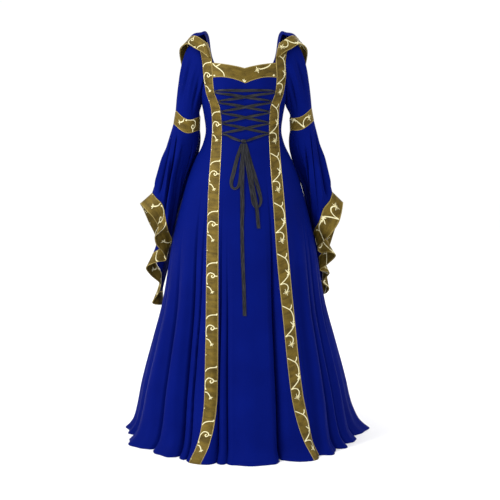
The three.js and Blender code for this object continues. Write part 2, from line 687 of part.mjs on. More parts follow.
// The ring of the armband's upper or lower edge, once around from the outside to the front.
function armbandRing(side, around, low = 0) {
  const band = ARMBANDS[side];
  const out = Math.cos(2 * Math.PI * around);
  const forward = Math.sin(2 * Math.PI * around);
  const grow = low * ARMBAND_SPREAD;
  const centre = (band.inner + band.outer) / 2 + grow * 0.6;
  const reach = (band.outer - band.inner) / 2;
  const level = (band.topInner + band.topOuter) / 2 + out * (band.topOuter - band.topInner) / 2;
  const sag = band.sag * Math.max(0, forward) ** 3;
  return new THREE.Vector3(
    sign[side] * (centre + out * (reach + grow * 0.4)),
    ARMBAND_Y - forward * (band.deep + grow * 0.5),
    level - sag - low * band.foot,
  );
}

function upperSleeve(side) {
  const place = (u, v) => {
    const turn = 2 * Math.PI * u;
    const out = Math.cos(turn);
    const forward = Math.sin(turn);
    const start = armhole(side, ((u % 1) + 1) % 1);
    const end = armbandRing(side, u);
    const leave = new THREE.Vector3(sign[side] * (20 + 18 * out), -8 * forward, -4 + 12 * out);
    const arrive = new THREE.Vector3(-sign[side] * 8 * out, 0, 62 + 48 * out);
    const curve = new THREE.CubicBezierCurve3(
      start, start.clone().add(leave), end.clone().add(arrive), end);
    return curve.getPoint(v);
  };
  const cloth = withNormals(place, { facing: sign[side] });
  return wall(cloth, spread(18).slice(0, -1), spread(7), CLOTH, {
    round: true, inset: { top: 1.5 * SEAM },
  });
}

function armband(side) {
  const place = (u, v) => armbandRing(side, u).lerp(armbandRing(side, u, 1), v);
  const cloth = withNormals(place, { facing: sign[side] });
  return wall(cloth, spread(24).slice(0, -1), spread(1), BAND, {
    round: true, inset: { top: SEAM, bottom: SEAM },
  });
}

// Curves of a bell sleeve, by the running number of its table rows.
function bellCurves(side, rows) {
  const curve = (name) => {
    const points = rows.map((row) => {
      const [out, y, z] = row[name];
      return new THREE.Vector3(sign[side] * out, y, z);
    });
    return new THREE.CatmullRomCurve3(points, true, 'centripetal');
  };
  const turns = column([...rows, { around: 360 }].map((row, k) => ({ k, at: row.around })), 'k', 'at');
  const seam = curve('seam');
  const hem = curve('hem');
  const count = rows.length;
  const wrap = (k) => ((k % count) + count) % count;
  return {
    count,
    ring: (k) => armbandRing(side, turns(wrap(k)) / 360, 1),
    seam: (k) => seam.getPoint(wrap(k) / count),
    hem: (k) => hem.getPoint(wrap(k) / count),
    drop: (k, v) => {
      const { inward, back, middle, reach } = BELL_DROP[side];
      const turned = (turns(wrap(k)) - middle) / reach;
      const fall = within(v / BELL_DROP.end);
      const share = Math.abs(turned) < 1 ? Math.cos(turned * Math.PI / 2) ** 2 : 0;
      const depth = share * BELL_DROP.scale * fall * (1 - fall) ** 2;
      return new THREE.Vector3(-sign[side] * inward * depth, back * depth, 0);
    },
  };
}

// The bell and its cuff band. At the seam between them both walls take the mean of the two
// normals, so that they stay apart where the cuff turns.
function bellPieces(side, rows) {
  const { count, ring, seam, hem, drop } = bellCurves(side, rows);
  const facing = sign[side];
  const bell = withNormals((k, v) => ring(k).lerp(seam(k), v).add(drop(k, v)), { facing });
  const cuff = withNormals((k, v) => seam(k).lerp(hem(k), v), { facing });
  const mean = (k) => bell(k, 1).normal.add(cuff(k, 0).normal).normalize();
  const mitred = (cloth, seamAt) => (k, v) =>
    (v === seamAt ? { point: cloth(k, v).point, normal: mean(k) } : cloth(k, v));
  const steps = spread(2 * count, 0, count).slice(0, -1);
  return {
    bell: wall(mitred(bell, 1), steps, BELL_ROWS, CLOTH, {
      round: true, inset: { bottom: 1.5 * SEAM, top: 3 * SEAM },
    }),
    cuff: wall(mitred(cuff, 0), steps, spread(CUFF_STEPS), BAND, {
      round: true, inset: { bottom: 3 * SEAM },
    }),
  };
}

// Hood

// One side of the hood. The function it returns gives the section at a running number of the
// table, as a curve from the neck to the free edge.
function hoodSide(side) {
  const last = HOOD_SECTIONS.length - 1;
  const smooth = (points) => new THREE.CatmullRomCurve3(points, false, 'centripetal');
  const table = (name) => smooth(HOOD_SECTIONS.map((row) => {
    const [out, y, z] = row[name];
    return new THREE.Vector3(sign[side] * out, y, z);
  }));
  const neck = smooth(HOOD_SECTIONS.map(({ neck: at }) => {
    const theta = sign[side] * bodyAngle(at.x, at.s, at.back);
    const { point, normal } = bodyCloth(theta, at.s);
    return point.addScaledVector(normal, BAND / 2 + CLOTH / 2 + SEAM);
  }));
  const [crest, fold, edge] = ['crest', 'fold', 'edge'].map(table);
  const bellies = HOOD_SECTIONS.map((row, at) => ({ at, belly: row.belly }));
  const belly = column(bellies, 'at', 'belly');
  return (k) => {
    const t = within(k / last);
    const [start, turn, low, end] = [neck, crest, fold, edge].map((curve) => curve.getPoint(t));
    const lay = turn.clone().lerp(low, 0.45);
    const swell = low.clone().lerp(end, 0.42).add(new THREE.Vector3(0, belly(k), 0));
    return smooth([start, turn, lay, low, swell, end]);
  };
}

function hoodColumns(first) {
  const last = HOOD_SECTIONS.length - 1;
  return spread((last - first) / HOOD_STEP, first, last);
}

// The blue cloth of the hood, from the neck (row 0) over the crest (1) and down (2) to the fold
// (3), and on to the gold band (4).
const HOOD_ROWS = [0, 0.5, 0.85, 1.15, 1.5, 2, 2.5, 2.8, 3, 3.5, 4];
function hoodCloth(side) {
  const section = hoodSide(side);
  const spans = 5;
  const place = (k, v) => {
    const curve = section(k);
    const seam = spans * curve.getUtoTmapping(1 - HOOD_BAND_WIDTH / curve.getLength());
    const at = v <= 3 ? v : 3 + (v - 3) * (seam - 3);
    return curve.getPoint(within(at / spans));
  };
  const cloth = withNormals(place, { facing: sign[side] });
  return wall(cloth, hoodColumns(HOOD_CLOTH_START), HOOD_ROWS, CLOTH, {
    inset: { end: SEAM / 2, top: SEAM },
  });
}

// The gold band along the free edge: its full width, or all of the hood where that is narrower.
function hoodBand(side) {
  const section = hoodSide(side);
  const place = (k, v) => {
    const curve = section(k);
    const length = curve.getLength();
    return curve.getPointAt(within(1 - v * Math.min(HOOD_BAND_WIDTH, length) / length));
  };
  const cloth = withNormals(place, { stepV: -1e-3, facing: sign[side] });
  return wall(cloth, hoodColumns(0), spread(2), BAND, {
    inset: { end: SEAM / 2, top: SEAM },
  });
}

// Lacing

// A flat ribbon on the front of the body, through rows of x, height, lift and width, with a
// section about every RIBBON_STEP millimetres and at each row.
function ribbon(rows) {
  const last = rows.length - 1;
  const path = new THREE.CatmullRomCurve3(
    rows.map((row) => new THREE.Vector3(row.x, row.s, row.lift)), false, 'centripetal');
  const wide = column(rows.map((row, at) => ({ at, wide: row.wide })), 'at', 'wide');
  const centre = (t) => {
    const at = path.getPoint(within(t / last));
    return onFront(at.x, at.y, at.z);
  };
  const stops = rows.slice(1).flatMap((row, k) => {
    const length = Math.hypot(row.x - rows[k].x, row.s - rows[k].s);
    return spread(Math.max(1, Math.round(length / RIBBON_STEP)), k, k + 1).slice(1);
  });
  return sweep([0, ...stops].map((t) => {
    const { point, normal } = centre(t);
    const ahead = centre(t + 0.02).point.sub(centre(t - 0.02).point);
    const across = ahead.cross(normal).normalize();
    const half = wide(t) / 2;
    return [[-1, -1], [1, -1], [1, 1], [-1, 1]].map(([a, b]) => point.clone()
      .addScaledVector(across, a * half)
      .addScaledVector(normal, b * RIBBON / 2));
  }));
}

const loopX = (side, s) => bandCentre[side](s) - sign[side] * bandWidth(s) / 2;

// A thread loop that stands out from the inner edge of a band.
function laceLoop(side, s) {
  const { reach, half, lift, wire, root, rootLift } = LOOP;
  const inward = -sign[side];
  const rows = [
    [root, half, rootLift], [1, half, rootLift + 0.5], [reach * 0.72, half * 0.72, lift],
    [reach, 0, lift], [reach * 0.72, -half * 0.72, lift], [1, -half, rootLift + 0.5],
    [root, -half, rootLift],
  ];
  const path = new THREE.CatmullRomCurve3(rows.map(([out, up, off]) =>
    onFront(loopX(side, s) + inward * out, s + up, off).point));
  const section = new THREE.Shape().absarc(0, 0, wire, 0, 2 * Math.PI);
  return new THREE.ExtrudeGeometry(section, {
    steps: 8, curveSegments: 3, bevelEnabled: false, extrudePath: path,
  });
}

// Half of the lace from the top strand: it leaves each loop over its thread and arrives at the
// next loop under it, crossing the other half between them.
function laceHalf(first) {
  const under = 2.4;
  const over = 6.2;
  const rows = [];
  let side = first;
  LOOP_HEIGHTS.forEach((s, level) => {
    const inward = -sign[side];
    const edge = loopX(side, s);
    const high = (first === 'left') === (level % 2 === 0);
    rows.push({ x: edge + inward * 15, s: s + 4.2, lift: under, wide: 6 });
    rows.push({ x: edge + inward * 8.5, s: s + 3.1, lift: under, wide: 4 });
    rows.push({ x: edge + inward * 4, s, lift: 4.1, wide: 2.8 });
    rows.push({ x: edge + inward * 8.5, s: s - 3.1, lift: over, wide: 4 });
    rows.push({ x: edge + inward * 17, s: s - 4.8, lift: over - 0.3, wide: 6 });
    side = side === 'left' ? 'right' : 'left';
    const next = LOOP_HEIGHTS[level + 1];
    if (next === undefined) return;
    const middle = (edge + loopX(side, next)) / 2;
    for (const along of [inward * -30, inward * 30]) {
      const slope = (next - s) / (loopX(side, next) - edge);
      rows.push({
        x: middle + along, s: (s + next) / 2 + along * slope, lift: high ? 4.6 : 2.6, wide: 9,
      });
    }
  });
  return rows;
}

function lace() {
  const left = laceHalf('left');
  const right = laceHalf('right');
  const top = LOOP_HEIGHTS[0] + 4;
  const crossing = { x: 5, s: top, lift: 2.6, wide: 10 };
  const ends = [right.at(-1), left.at(-1)].map((row) => {
    const out = Math.sign(row.x - KNOT.x);
    return [
      { x: KNOT.x + out * 36, s: (row.s + KNOT.s) / 2, lift: 4.2, wide: 9 },
      { x: KNOT.x + out * (KNOT.wide / 2 + SEAM + 0.8), s: KNOT.s + 1, lift: KNOT.lift, wide: 7 },
    ];
  });
  const rows = [
    ...ends[0].toReversed(), ...right.toReversed(), crossing, ...left, ...ends[1],
  ];
  return ribbon(rows);
}

function laceKnot() {
  const { wide, tall, deep } = KNOT;
  const round = 2.4;
  const w = wide / 2 - round;
  const h = tall / 2 - round;
  const outline = new THREE.Shape();
  outline.absarc(w, h, round, 0, Math.PI / 2);
  outline.absarc(-w, h, round, Math.PI / 2, Math.PI);
  outline.absarc(-w, -h, round, Math.PI, 1.5 * Math.PI);
  outline.absarc(w, -h, round, 1.5 * Math.PI, 2 * Math.PI);
  const geometry = new THREE.ExtrudeGeometry(outline, {
    depth: deep, curveSegments: 3, bevelEnabled: false,
  });
  geometry.translate(0, 0, -deep / 2);
  return geometry;
}

// The scene graph

const gown = new THREE.Group();
gown.position.z = -SHOULDER_HEIGHT;

function add(name, geometry, look) {
  const mesh = new THREE.Mesh(geometry, new THREE.MeshStandardMaterial(look));
  mesh.name = name;
  gown.add(mesh);
  return mesh;
}

add('front_panel', frontPanel(), BLUE);
add('neck_yoke', neckYoke(), GOLD);

for (const side of ['left', 'right']) {
  const { bell, cuff } = bellPieces(side, side === 'left' ? LEFT_BELL : RIGHT_BELL);
  add(`front_band_${side}`, goldBand(side), GOLD);
  add(`side_front_${side}`, sideFront(side), BLUE);
  add(`back_${side}`, backHalf(side), BLUE);
  add(`sleeve_upper_${side}`, upperSleeve(side), BLUE);
  add(`armband_${side}`, armband(side), GOLD);
  add(`sleeve_bell_${side}`, bell, BLUE);
  add(`cuff_band_${side}`, cuff, GOLD);
  add(`hood_${side}`, hoodCloth(side), BLUE);
  add(`hood_band_${side}`, hoodBand(side), GOLD);
  LOOP_HEIGHTS.forEach((s, level) => {
    add(`lace_loop_${side}_${level + 1}`, laceLoop(side, s), SATIN);
  });
  add(`bow_loop_${side}`, ribbon(BOW_LOOPS[side]), SATIN);
}

add('lace', lace(), SATIN);
add('lace_tail_long', ribbon(TAILS.long), SATIN);
add('lace_tail_short', ribbon(TAILS.short), SATIN);

const knot = add('lace_knot', laceKnot(), SATIN);
const seat = onFront(KNOT.x, KNOT.s, KNOT.lift);
const across = new THREE.Vector3(0, 0, 1).cross(seat.normal).normalize();
const upright = seat.normal.clone().cross(across);
knot.position.copy(seat.point);
knot.quaternion.setFromRotationMatrix(new THREE.Matrix4().makeBasis(across, upright, seat.normal));

const part = new THREE.Group();
part.add(gown);

export default part;
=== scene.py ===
"""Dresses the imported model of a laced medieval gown: cloth, trim, lacing, camera and light."""

import json
import logging
import math
from dataclasses import dataclass, field
from enum import Enum
from typing import Callable, Sequence

import bpy
import numpy as np
from bpy.types import ID, Material, Mesh, Node, NodeSocket, NodeTree, Object
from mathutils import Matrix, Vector

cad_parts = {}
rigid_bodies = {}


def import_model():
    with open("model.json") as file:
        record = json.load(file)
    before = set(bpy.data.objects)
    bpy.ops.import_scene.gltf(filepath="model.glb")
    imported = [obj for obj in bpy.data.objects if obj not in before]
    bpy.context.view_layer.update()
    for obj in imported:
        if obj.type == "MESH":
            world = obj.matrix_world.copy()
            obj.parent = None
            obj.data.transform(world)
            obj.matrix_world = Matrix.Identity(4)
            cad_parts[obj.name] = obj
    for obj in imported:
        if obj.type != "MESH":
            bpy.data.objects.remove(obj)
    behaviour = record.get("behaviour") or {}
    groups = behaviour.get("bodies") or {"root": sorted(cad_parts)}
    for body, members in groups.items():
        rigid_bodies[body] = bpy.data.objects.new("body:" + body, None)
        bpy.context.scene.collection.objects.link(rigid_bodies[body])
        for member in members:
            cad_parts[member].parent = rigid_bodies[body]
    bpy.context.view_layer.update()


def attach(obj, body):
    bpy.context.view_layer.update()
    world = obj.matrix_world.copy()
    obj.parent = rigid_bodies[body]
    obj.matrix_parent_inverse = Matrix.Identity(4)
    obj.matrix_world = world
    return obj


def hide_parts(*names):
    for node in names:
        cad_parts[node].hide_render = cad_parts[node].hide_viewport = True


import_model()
LOG = logging.getLogger("gown")

Array = np.ndarray
Colour = tuple[float, float, float, float]
Triple = tuple[float, float, float]
Table = Sequence[tuple[float, ...]]
Flat = tuple[Array, list[list[int]]]
Edge = Callable[[Array], Array]
MM = 0.001
SHOULDER_HEIGHT = 1360.0
CHEST_HEIGHT = 1190.0
UNDERARM_HEIGHT = 1150.0
SHOULDER_RADIUS = SHOULDER_HEIGHT - CHEST_HEIGHT
SHOULDER_LINE = CHEST_HEIGHT + SHOULDER_RADIUS * math.pi / 2
CLOTH = 1.5
BAND = 2.0
SEAM = 0.3
HEM_HEIGHT = 16.0
HEM_EXTRA = 0.8
SWING_PEAK = 27 / 4
TIP = 0.35
THREAD_STEP = 0.0016
TAU = 2 * math.pi


def arc_at(z: float) -> float:
    """Returns the arc length on the body for a height above the chest."""
    return CHEST_HEIGHT + SHOULDER_RADIUS * math.asin((z - CHEST_HEIGHT) / SHOULDER_RADIUS)


YOKE_LOW = arc_at(1238.0)
YOKE_HIGH = arc_at(1288.0)


class Side(Enum):
    """The wearer's side, with the sign of its X."""

    LEFT = 1
    RIGHT = -1

    @property
    def sign(self) -> int:
        """The sign of X on this side."""
        return self.value

    @property
    def word(self) -> str:
        """The side as it stands in node names."""
        return self.name.lower()


def smoothstep(t: Array) -> Array:
    """Returns a soft rise from 0 to 1."""
    t = np.clip(t, 0.0, 1.0)
    return t * t * (3 - 2 * t)


def bump(t: Array) -> Array:
    """Returns a soft hump of height 1 between -1 and 1."""
    return np.where(np.abs(t) >= 1, 0.0, (1 + np.cos(np.pi * np.clip(t, -1, 1))) / 2)


def turn_between(a: Array, b: float) -> Array:
    """Returns the turn from b to a in degrees, between -180 and 180."""
    return (a - b + 180.0) % 360.0 - 180.0


@dataclass(frozen=True)
class SmoothColumn:
    """A smooth function through the points of a table, without overshoot between them."""

    at: Sequence[float]
    value: Sequence[float]

    def __call__(self, where: Array | float) -> Array:
        """Returns the value at each given place.

        Args:
            where: places along the table.

        Returns:
            The values there, with the ends held beyond the table.
        """
        x, y = np.asarray(self.at, float), np.asarray(self.value, float)
        slopes = np.diff(y) / np.diff(x)
        product, total = slopes[:-1] * slopes[1:], slopes[:-1] + slopes[1:]
        inner = np.where(product <= 0, 0.0, 2 * product / np.where(total == 0, 1.0, total))
        tangents = np.concatenate([slopes[:1], inner, slopes[-1:]])
        t = np.clip(np.asarray(where, float), x[0], x[-1])
        i = np.clip(np.searchsorted(x, t, side="right") - 1, 0, len(x) - 2)
        span = x[i + 1] - x[i]
        f = (t - x[i]) / span
        start = f * (1 - f) ** 2 * span * tangents[i]
        end = f * f * (f - 1) * span * tangents[i + 1]
        return y[i] + (y[i + 1] - y[i]) * smoothstep(f) + start + end


@dataclass(frozen=True)
class SoftPath:
    """A centripetal curve through points, open or closed."""

    points: Array
    closed: bool = False

    def at(self, t: Array | float) -> Array:
        """Returns the points at shares t of the way, counted by table rows.

        Args:
            t: shares from 0 to 1.

        Returns:
            The points, one row each.
        """
        p = np.asarray(self.points, float)
        count = len(p)
        spans = count if self.closed else count - 1
        place = np.clip(np.atleast_1d(np.asarray(t, float)), 0.0, 1.0) * spans
        i = np.minimum(place.astype(int), spans - 1)
        w = (place - i)[:, None]
        if self.closed:
            p0, p1, p2, p3 = (p[(i + k) % count] for k in (-1, 0, 1, 2))
        else:
            far = np.vstack([2 * p[:1] - p[1:2], p, 2 * p[-1:] - p[-2:-1]])
            p0, p1, p2, p3 = (far[i + k] for k in (0, 1, 2, 3))
        gaps = [np.sum((b - a) ** 2, axis=1) ** 0.25 for a, b in ((p0, p1), (p1, p2), (p2, p3))]
        d1 = np.where(gaps[1] < 1e-4, 1.0, gaps[1])
        d0 = np.where(gaps[0] < 1e-4, d1, gaps[0])[:, None]
        d2 = np.where(gaps[2] < 1e-4, d1, gaps[2])[:, None]
        d1 = d1[:, None]
        t1 = ((p1 - p0) / d0 - (p2 - p0) / (d0 + d1) + (p2 - p1) / d1) * d1
        t2 = ((p2 - p1) / d1 - (p3 - p1) / (d1 + d2) + (p3 - p2) / d2) * d1
        c2 = -3 * p1 + 3 * p2 - 2 * t1 - t2
        c3 = 2 * p1 - 2 * p2 + t1 + t2
        return p1 + t1 * w + c2 * w**2 + c3 * w**3


def by_length(points: Array, shares: Array) -> Array:
    """Returns points at shares of a polyline's length.

    Args:
        points: the polyline, closely spaced.
        shares: shares of its length, from 0 to 1.

    Returns:
        The points there, one row each.
    """
    reach = reached(points)
    return np.stack([np.interp(shares * reach[-1], reach, points[:, k]) for k in range(3)], axis=1)


def unit(vectors: Array) -> Array:
    """Returns the vectors at length 1."""
    return vectors / np.maximum(np.linalg.norm(vectors, axis=-1, keepdims=True), 1e-12)


def steps(points: Array) -> Array:
    """Returns the lengths of a polyline's steps."""
    return np.linalg.norm(np.diff(points, axis=0), axis=1)


def reached(points: Array) -> Array:
    """Returns the length of a polyline up to each of its points."""
    return np.concatenate([[0.0], np.cumsum(steps(points))])


def in_frame(points: Array) -> Array:
    """Returns millimetres above the floor as metres in the row frame."""
    return (points - np.array([0.0, 0.0, SHOULDER_HEIGHT])) * MM


@dataclass
class Face:
    """A smooth grid of points on a sheet of cloth, rows by columns, in millimetres."""

    points: Array
    facing: int = 1
    closed: bool = False

    def normals(self) -> Array:
        """Returns the outward normal at each point."""
        p = self.points
        if self.closed:
            along = np.roll(p, -1, axis=1) - np.roll(p, 1, axis=1)
        else:
            along = np.gradient(p, axis=1)
        return unit(np.cross(along, np.gradient(p, axis=0))) * self.facing

    def moved(self, depth: Array) -> "Face":
        """Returns the face with each point moved outwards by its depth."""
        return Face(self.points + self.normals() * depth[..., None], self.facing, self.closed)

    def ring(self) -> Array:
        """Returns the points, with the first column again at the end of a closed face."""
        return np.concatenate([self.points, self.points[:, :1]], axis=1) if self.closed else self.points

    def lay(self) -> Array:
        """Returns the place of each point on the flat cloth in metres, as (across, along)."""
        p = self.ring()
        across = np.linalg.norm(np.diff(p, axis=1), axis=2)
        along = np.linalg.norm(np.diff(p, axis=0), axis=2)
        u = np.concatenate([np.zeros((len(p), 1)), np.cumsum(across, axis=1)], axis=1)
        v = np.concatenate([np.zeros((1, p.shape[1])), np.cumsum(along, axis=0)], axis=0)
        u -= u.mean(axis=1, keepdims=True)
        return np.stack([u, np.broadcast_to(v, u.shape)], axis=2) * MM


def link(name: str, mesh: Mesh) -> Object:
    """Returns a new object that shows the mesh."""
    piece = bpy.data.objects.new(name, mesh)
    bpy.context.scene.collection.objects.link(piece)
    return piece


def make_mesh(name: str, points: Array, faces: Sequence[Sequence[int]], smooth: bool = True) -> Mesh:
    """Returns a mesh of points in metres, smooth where its faces meet at less than 50 degrees."""
    mesh = bpy.data.meshes.new(name)
    mesh.from_pydata(points.tolist(), [], [list(f) for f in faces])
    if smooth:
        mesh.polygons.foreach_set("use_smooth", [True] * len(mesh.polygons))
        mesh.set_sharp_from_angle(angle=math.radians(50))
    mesh.update()
    return mesh


def round_faces(rings: int, sides: int) -> list[list[int]]:
    """Returns the faces between closed rings of points, ring by ring."""
    return [[j * sides + i, j * sides + (i + 1) % sides, (j + 1) * sides + (i + 1) % sides,
             (j + 1) * sides + i] for j in range(rings) for i in range(sides)]


def lay_flat(mesh: Mesh, name: str, places: Array) -> None:
    """Gives a mesh a UV map with a place for each corner of its faces."""
    layer = mesh.uv_layers.new(name=name)
    layer.data.foreach_set("uv", np.ascontiguousarray(places).reshape(-1))


def cloth_mesh(name: str, face: Face, thickness: Array | float) -> Mesh:
    """Returns a closed wall of cloth about a face, with its flat lay as a UV map.

    Args:
        name: name of the mesh.
        face: the middle of the cloth.
        thickness: wall thickness in millimetres, one or one for each point.

    Returns:
        The mesh, in metres in the row frame.
    """
    rows, columns = face.points.shape[:2]
    half = face.normals() * (np.broadcast_to(thickness, (rows, columns))[..., None] / 2)
    points = in_frame(np.concatenate([face.points + half, face.points - half]).reshape(-1, 3))
    spans = columns if face.closed else columns - 1
    lay, quads, flat = face.lay(), [], []

    def fill(*corners: tuple[int, Array, Array], turned: bool = False) -> None:
        """Adds quads between four corners, each given as a layer, rows and columns."""
        ordered = [corners[n] for n in ((0, 3, 2, 1) if turned else (0, 1, 2, 3))]
        points_of = [(side * rows + r) * columns + c % columns for side, r, c in ordered]
        quads.append(np.stack(points_of, axis=1))
        flat.append(np.stack([lay[r, c] for _, r, c in ordered], axis=1))

    j, i = (a.ravel() for a in np.meshgrid(np.arange(rows - 1), np.arange(spans), indexing="ij"))
    for side in (0, 1):
        fill((side, j, i), (side, j, i + 1), (side, j + 1, i + 1), (side, j + 1, i), turned=side == 1)
    k = np.arange(spans)
    for row, turned in ((0, False), (rows - 1, True)):
        r = np.full_like(k, row)
        fill((0, r, k), (1, r, k), (1, r, k + 1), (0, r, k + 1), turned=turned)
    if not face.closed:
        k = np.arange(rows - 1)
        for column, turned in ((0, True), (columns - 1, False)):
            c = np.full_like(k, column)
            fill((0, k, c), (1, k, c), (1, k + 1, c), (0, k + 1, c), turned=turned)
    faces, places = np.concatenate(quads), np.concatenate(flat)
    if face.facing < 0:
        faces, places = faces[:, ::-1], places[:, ::-1]
    mesh = make_mesh(name, points, faces.tolist())
    lay_flat(mesh, "cloth", places)
    return mesh


@dataclass
class BodyForm:
    """The body of the gown: rings by height, bust, skirt folds and the waves on the floor.

    Lengths are in millimetres and angles in degrees from centre front towards +X.

    Attributes:
        rings: height, half width, front depth and back depth of each ring.
        bands: height, middle of the right and of the left gold band, and their width.
        folds: angle at the hem and at the top, height of the top, half width, depth outwards.
        ripples: angle, half width and depth of each wave where the hem meets the floor.
        armhole_back: height and x of the back edge of the armhole.
        neckline_back: share of the way from the centre back outwards, and height.
        bust: x, height, rise, width and height of the bust's mound.
        ripple_height: height at which the waves have faded out.
        fullness: how many times as deep the folds are below the waist.
        full_below: height below which they begin to deepen.
        full_over: height over which they deepen.
        creased_from: depth beyond which a fold has a crease.
        crease: depth of a crease as a multiple of its fold's.
        crease_width: its width as a share of its fold's.
        overlap: how far neighbouring folds run into each other.
        banded_fold: the fold at the left gold band, which has no crease.
    """

    rings: Table = (
        (0, 414, 428, 420), (14, 399, 412, 405), (34, 385, 396, 392), (80, 371, 378, 378),
        (174, 352, 352, 356), (335, 313, 306, 314), (458, 284, 268, 282), (680, 247, 206, 226),
        (847, 206, 162, 178), (911, 186, 143, 158), (963, 165, 126, 135), (1015, 140, 108, 106),
        (1060, 130, 99, 88), (1100, 134, 103, 88), (1150, 143, 112, 98), (1190, 150, 116, 105),
        (1246, 154, 116, 105), (1294, 162, 116, 105), (1380, 176, 116, 105), (1457.035, 188, 116, 105),
    )
    bands: Table = (
        (0, -151, 240, 39), (46, -129, 217, 39), (108, -115, 197, 39), (199, -107, 177, 39),
        (440, -104, 151, 39), (636, -103, 133, 39), (835, -100, 118, 38), (992, -92, 106, 35),
        (1068, -89, 103, 33), (1134, -93, 105, 31), (1192, -112, 122, 29), (1250, -119, 128, 32),
        (1294, -122, 126, 33), (1380, -134, 135, 36), (1457.035, -145, 145, 39),
    )
    folds: Table = (
        (-51, -60, 760, 6.5, -15), (-42, -52, 820, 5, 7), (-33, -44, 930, 5, -15),
        (-27.5, -36, 960, 3.4, -8), (-12.5, -19, 900, 3, -9), (-7.5, -13, 780, 2.6, -6),
        (3, 4, 640, 7, 5), (18.5, 25, 960, 4.2, -15), (39, 47, 930, 4.5, -14), (45, 54, 850, 4, 7),
        (53, 60, 820, 4, -10), (63, 67, 860, 5.5, -14), (78, 78, 700, 6, -12), (94, 92, 620, 7, 10),
        (108, 106, 780, 6, -15), (121, 118, 700, 6, 8), (133, 130, 880, 6, -16),
        (148, 143, 760, 5.5, -11), (163, 158, 920, 5.5, -16), (176, 175, 640, 7, 8),
        (191, 195, 900, 5.5, -15), (207, 211, 740, 6, -11), (222, 226, 860, 6, -16),
        (237, 240, 680, 6, 8), (251, 253, 800, 6, -15), (265, 266, 600, 7, 9), (282, 281, 720, 6, -13),
        (296, 295, 640, 6, 8),
    )
    ripples: Table = (
        (-88, 6, -8), (-78, 4, -16), (-63, 7, 8), (-42, 4, -15), (-20, 8, 14), (8, 8, 6), (21, 4, -16),
        (32, 7, 16), (50, 5, -10), (70, 6, -6), (92, 9, 24), (115, 6, -10), (140, 7, 10),
        (170, 6, -10), (198, 8, 10), (228, 6, -10), (248, 6, 8),
    )
    armhole_back: Table = (
        (1150, 143), (1190, 139), (1246, 138), (1310, 143), (1380, 153), (1457.035, 165),
    )
    neckline_back: Table = (
        (0, 1256), (0.36, 1259), (0.66, 1270), (0.75, 1300), (0.79, 1370), (0.83, 1457.035),
    )
    bust: tuple[float, ...] = (78.0, 1178.0, 20.0, 52.0, 62.0)
    ripple_height: float = 150.0
    fullness: float = 1.4
    full_below: float = 820.0
    full_over: float = 260.0
    creased_from: float = -5.0
    crease: float = 1.9
    crease_width: float = 0.25
    overlap: float = 1.4
    banded_fold: float = 39.0

    def __post_init__(self) -> None:
        """Turns the tables into smooth functions."""
        s, half, front, back = zip(*self.rings)
        self.half, self.front, self.back = (SmoothColumn(s, c) for c in (half, front, back))
        s, right, left, width = zip(*self.bands)
        self.centre = {Side.RIGHT: SmoothColumn(s, right), Side.LEFT: SmoothColumn(s, left)}
        self.width = SmoothColumn(s, width)
        self.armhole_x = SmoothColumn(*zip(*self.armhole_back))
        self.neckline_s = SmoothColumn(*zip(*self.neckline_back))

    def fold_depth(self, degrees: Array, s: Array) -> Array:
        """Returns how far the folds move the cloth out at an angle and a height."""
        depth = np.zeros(np.broadcast(degrees, s).shape)
        deeper = 1 + (self.fullness - 1) * smoothstep((self.full_below - s) / self.full_over)
        for hem, top, high, wide, out in self.folds:
            rise = s / high
            centre = hem + (top - hem) * rise
            fade = np.where(rise < 1, smoothstep(1.25 * (1 - rise)), 0.0)
            spread = np.maximum(wide * (0.75 + 0.5 * rise) * self.overlap, 0.1)
            turn = turn_between(degrees, centre)
            depth = depth + deeper * out * fade * bump(turn / spread)
            if out < self.creased_from and hem != self.banded_fold:
                depth = depth + self.crease * out * fade * bump(turn / spread / self.crease_width)
        low = np.clip(1 - s / self.ripple_height, 0, 1) ** 2
        for hem, wide, out in self.ripples:
            depth = depth + out * low * bump(turn_between(degrees, hem) / wide / self.overlap)
        return depth

    def place(self, theta: Array, s: Array) -> Array:
        """Returns points on the body.

        Args:
            theta: angles in radians from centre front towards +X.
            s: heights, which go on as an arc length over the shoulder.

        Returns:
            The points in millimetres above the floor.
        """
        theta, s = np.broadcast_arrays(np.asarray(theta, float), np.asarray(s, float))
        turn = np.maximum(0.0, (s - CHEST_HEIGHT) / SHOULDER_RADIUS)
        height = np.where(s <= CHEST_HEIGHT, s, CHEST_HEIGHT + SHOULDER_RADIUS * np.sin(turn))
        folds = self.fold_depth(np.degrees(theta), s)
        faces = np.cos(theta)
        deep = (np.where(faces > 0, self.front(s), self.back(s)) + folds) * np.cos(turn)
        x = (self.half(s) + folds) * np.sin(theta)
        bust_x, bust_s, rise, wide, tall = self.bust
        mound = rise * np.exp(-(((np.abs(x) - bust_x) / wide) ** 2) - ((s - bust_s) / tall) ** 2)
        mound = np.where(faces > 0, mound * np.sqrt(np.abs(faces)), 0.0)
        return np.stack([x, -deep * faces - mound, height], axis=-1)

    def normal(self, theta: Array, s: Array) -> Array:
        """Returns the outward normals at places on the body."""
        along = self.place(theta + 1e-3, s) - self.place(theta - 1e-3, s)
        return unit(np.cross(along, self.place(theta, s + 0.5) - self.place(theta, s - 0.5)))

    def angle(self, x: Array, s: Array, back: bool = False) -> Array:
        """Returns the angle at which the front or back of the body reaches a given x."""
        front = np.arcsin(np.clip(x / self.half(s), -1, 1))
        return np.pi - front if back else front

    def on_front(self, x: Array, s: Array, lift: Array) -> tuple[Array, Array]:
        """Returns points lifted off the front of the body, and their normals."""
        theta = self.angle(x, s)
        normal = self.normal(theta, s)
        return self.place(theta, s) + normal * np.asarray(lift)[..., None], normal

